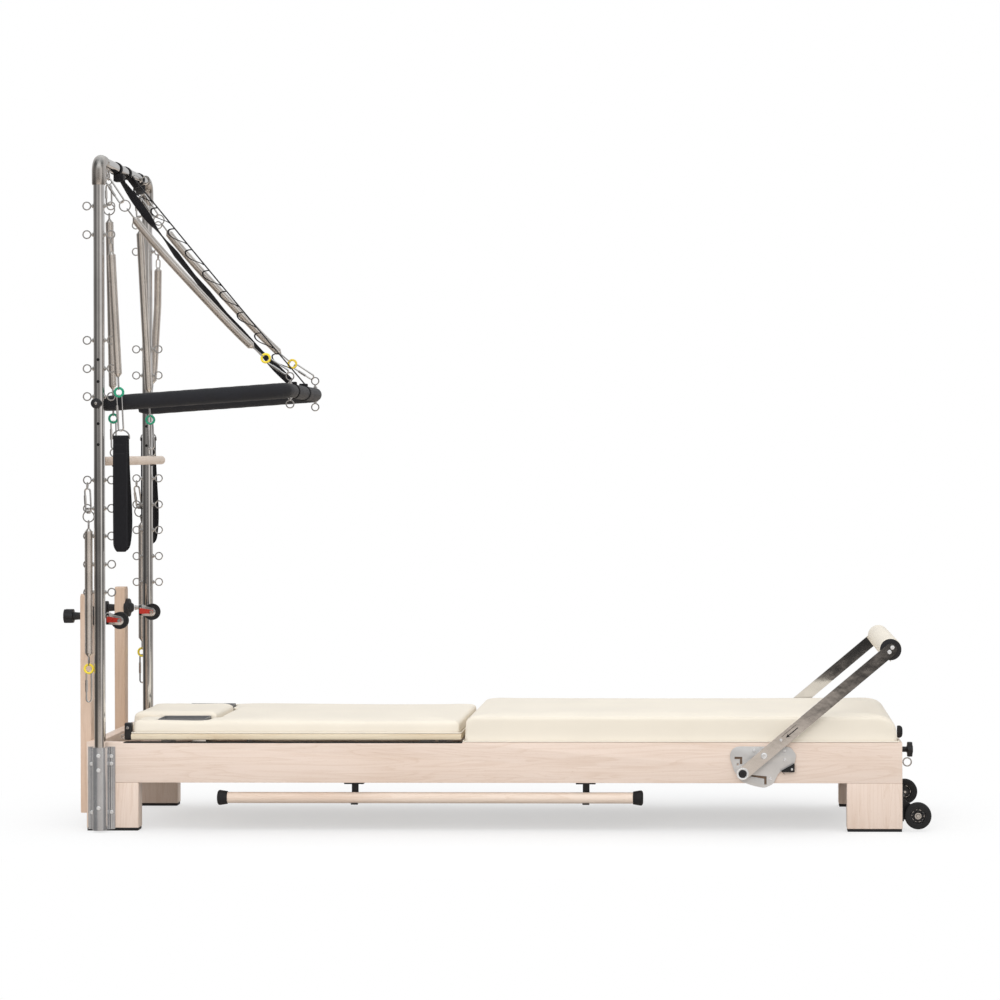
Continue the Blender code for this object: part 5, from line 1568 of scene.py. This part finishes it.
def transport_wheels():
    """Rubber wheels with spoked hubs, on brackets at the foot end."""
    x, z, r, edge, half, spokes = 1.2565, 0.0455, 0.0395, 0.005, 0.0122, 5
    inner, spoke = half - 0.003, 0.0026
    board = HALF_LENGTH + 0.002
    arm = rounded_corners([(board, z - 0.014), (x + 0.004, z - 0.012), (x + 0.014, z),
                           (x + 0.006, z + 0.014), (board, z + 0.050)], 0.005, 4)
    shoulder = [(half - edge + edge * cos(a), r - edge + edge * sin(a))
                for a in (radians(90), radians(60), radians(30))]
    rim = [(half, 0.027), (half, r - edge), *reversed(shoulder)]
    rim = [(-u, v) for u, v in rim] + rim[::-1]
    for name, side in SIDES.items():
        out = Y * side
        centre = Vector((x, side * 0.3188, z))
        bracket, axle, tyre, hub, bearing = (Shape() for _ in range(5))
        side_block(bracket, side, (HALF_LENGTH + GAP, HALF_LENGTH + 0.0043), (0.288, 0.332),
                   (0.030, 0.118), 0.0012)
        slab(bracket, arm, (0.2985, 0.3025), outwards(side), 0.0008, 2)
        make(f"wheel_bracket_{name}_plate", bracket, "plastic", "frame", f"wheel_bracket_{name}")
        for height in (0.044, 0.104):
            screw(axle, (HALF_LENGTH + 0.0043, side * 0.310, height), X, 0.0042, 0.0022)
        rod(axle, (x, side * 0.2980, z), out, 0.0040, 0.0355, 12)
        nut(axle, (x, side * 0.3315, z), out, 0.0062, 0.0022)
        make(f"wheel_axle_{name}", axle, "clip", "frame")
        on = f"transport_wheel_{name}"
        turned_ring(tyre, centre, Y, rim, 48)
        make(f"{on}_tyre", tyre, "rubber", on, on)
        for low, high, depth, sides in ((0.0225, 0.0272, inner, 40), (0.0044, 0.0115, inner, 28),
                                        (0.0110, 0.0230, 0.002, 40)):
            turned_ring(hub, centre, Y, [(-depth, low), (-depth, high), (depth, high), (depth, low)],
                        sides)
        for i in range(spokes):
            a = radians(360 / spokes * i + 18)
            ray, guide = Vector((cos(a), 0, sin(a))), Vector((-sin(a), 0, cos(a)))
            section = [(spoke, -inner), (spoke, inner), (-spoke, inner), (-spoke, -inner)]
            sweep(hub, [centre + ray * 0.010, centre + ray * 0.024], 1.0, guide=guide, section=section)
            for face in (-1, 1):
                run = arc((0, 0), 0.0180, 360 / spokes * i - 14, 360 / spokes * i + 38, 8)
                sweep(bearing, [centre + Vector((u, face * 0.0022, v)) for u, v in run],
                      [0.0005] + [0.0013] * 7 + [0.0005], 6)
        make(f"{on}_hub", hub, "plastic", on)
        depth = inner + 0.001
        turned_ring(bearing, centre, Y, [(-depth, 0.0064), (-depth, 0.0098), (depth, 0.0098),
                                         (depth, 0.0064)])
        make(f"{on}_bearing", bearing, "clip", on)


def exercise_pole():
    """A dowel with rubber caps, on hooks under the near rail."""
    low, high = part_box("exercise_pole")
    start, end = (Vector((x, (low.y + high.y) / 2, (low.z + high.z) / 2)) for x in (low.x, high.x))
    r, cap_r, cap = 0.0165, 0.0225, 0.030
    dowel, caps, screws = Shape(), Shape(), Shape()
    rod(dowel, start + X * 0.004, X, r, high.x - low.x - 0.008, 40)
    make("exercise_pole_dowel", dowel, "dowel", "exercise_pole", "exercise_pole")
    profile = [(0, cap_r - 0.0080), (0.0012, cap_r - 0.0035), (0.004, cap_r - 0.0005),
               (0.008, cap_r), (0.014, cap_r - 0.0010), (cap - 0.0015, r + 0.0028), (cap, r + 0.0018)]
    lathe(caps, start, X, profile, 32)
    lathe(caps, end, -X, profile, 32)
    make("exercise_pole_caps", caps, "rubber", "exercise_pole")
    for place in ENDS:
        node = f"pole_hook_{place}"
        repaint(node, "plastic")
        low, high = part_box(node)
        for x in (low.x + 0.008, high.x - 0.008):
            screw(screws, (x, -0.3135, high.z - 0.0043), -Z, 0.0045, 0.0022)
    make("pole_hook_screws", screws, "clip", "frame")


# ------------------------------------------------------------------ everything
make_studio()
for part in (wooden_frame, corner_brackets, tower, risers, push_through_bar, bar_springs,
             safety_straps, roll_down, arm_and_leg_springs, carriage, mat, footbar, foot_fittings,
             transport_wheels, exercise_pole):
    part()
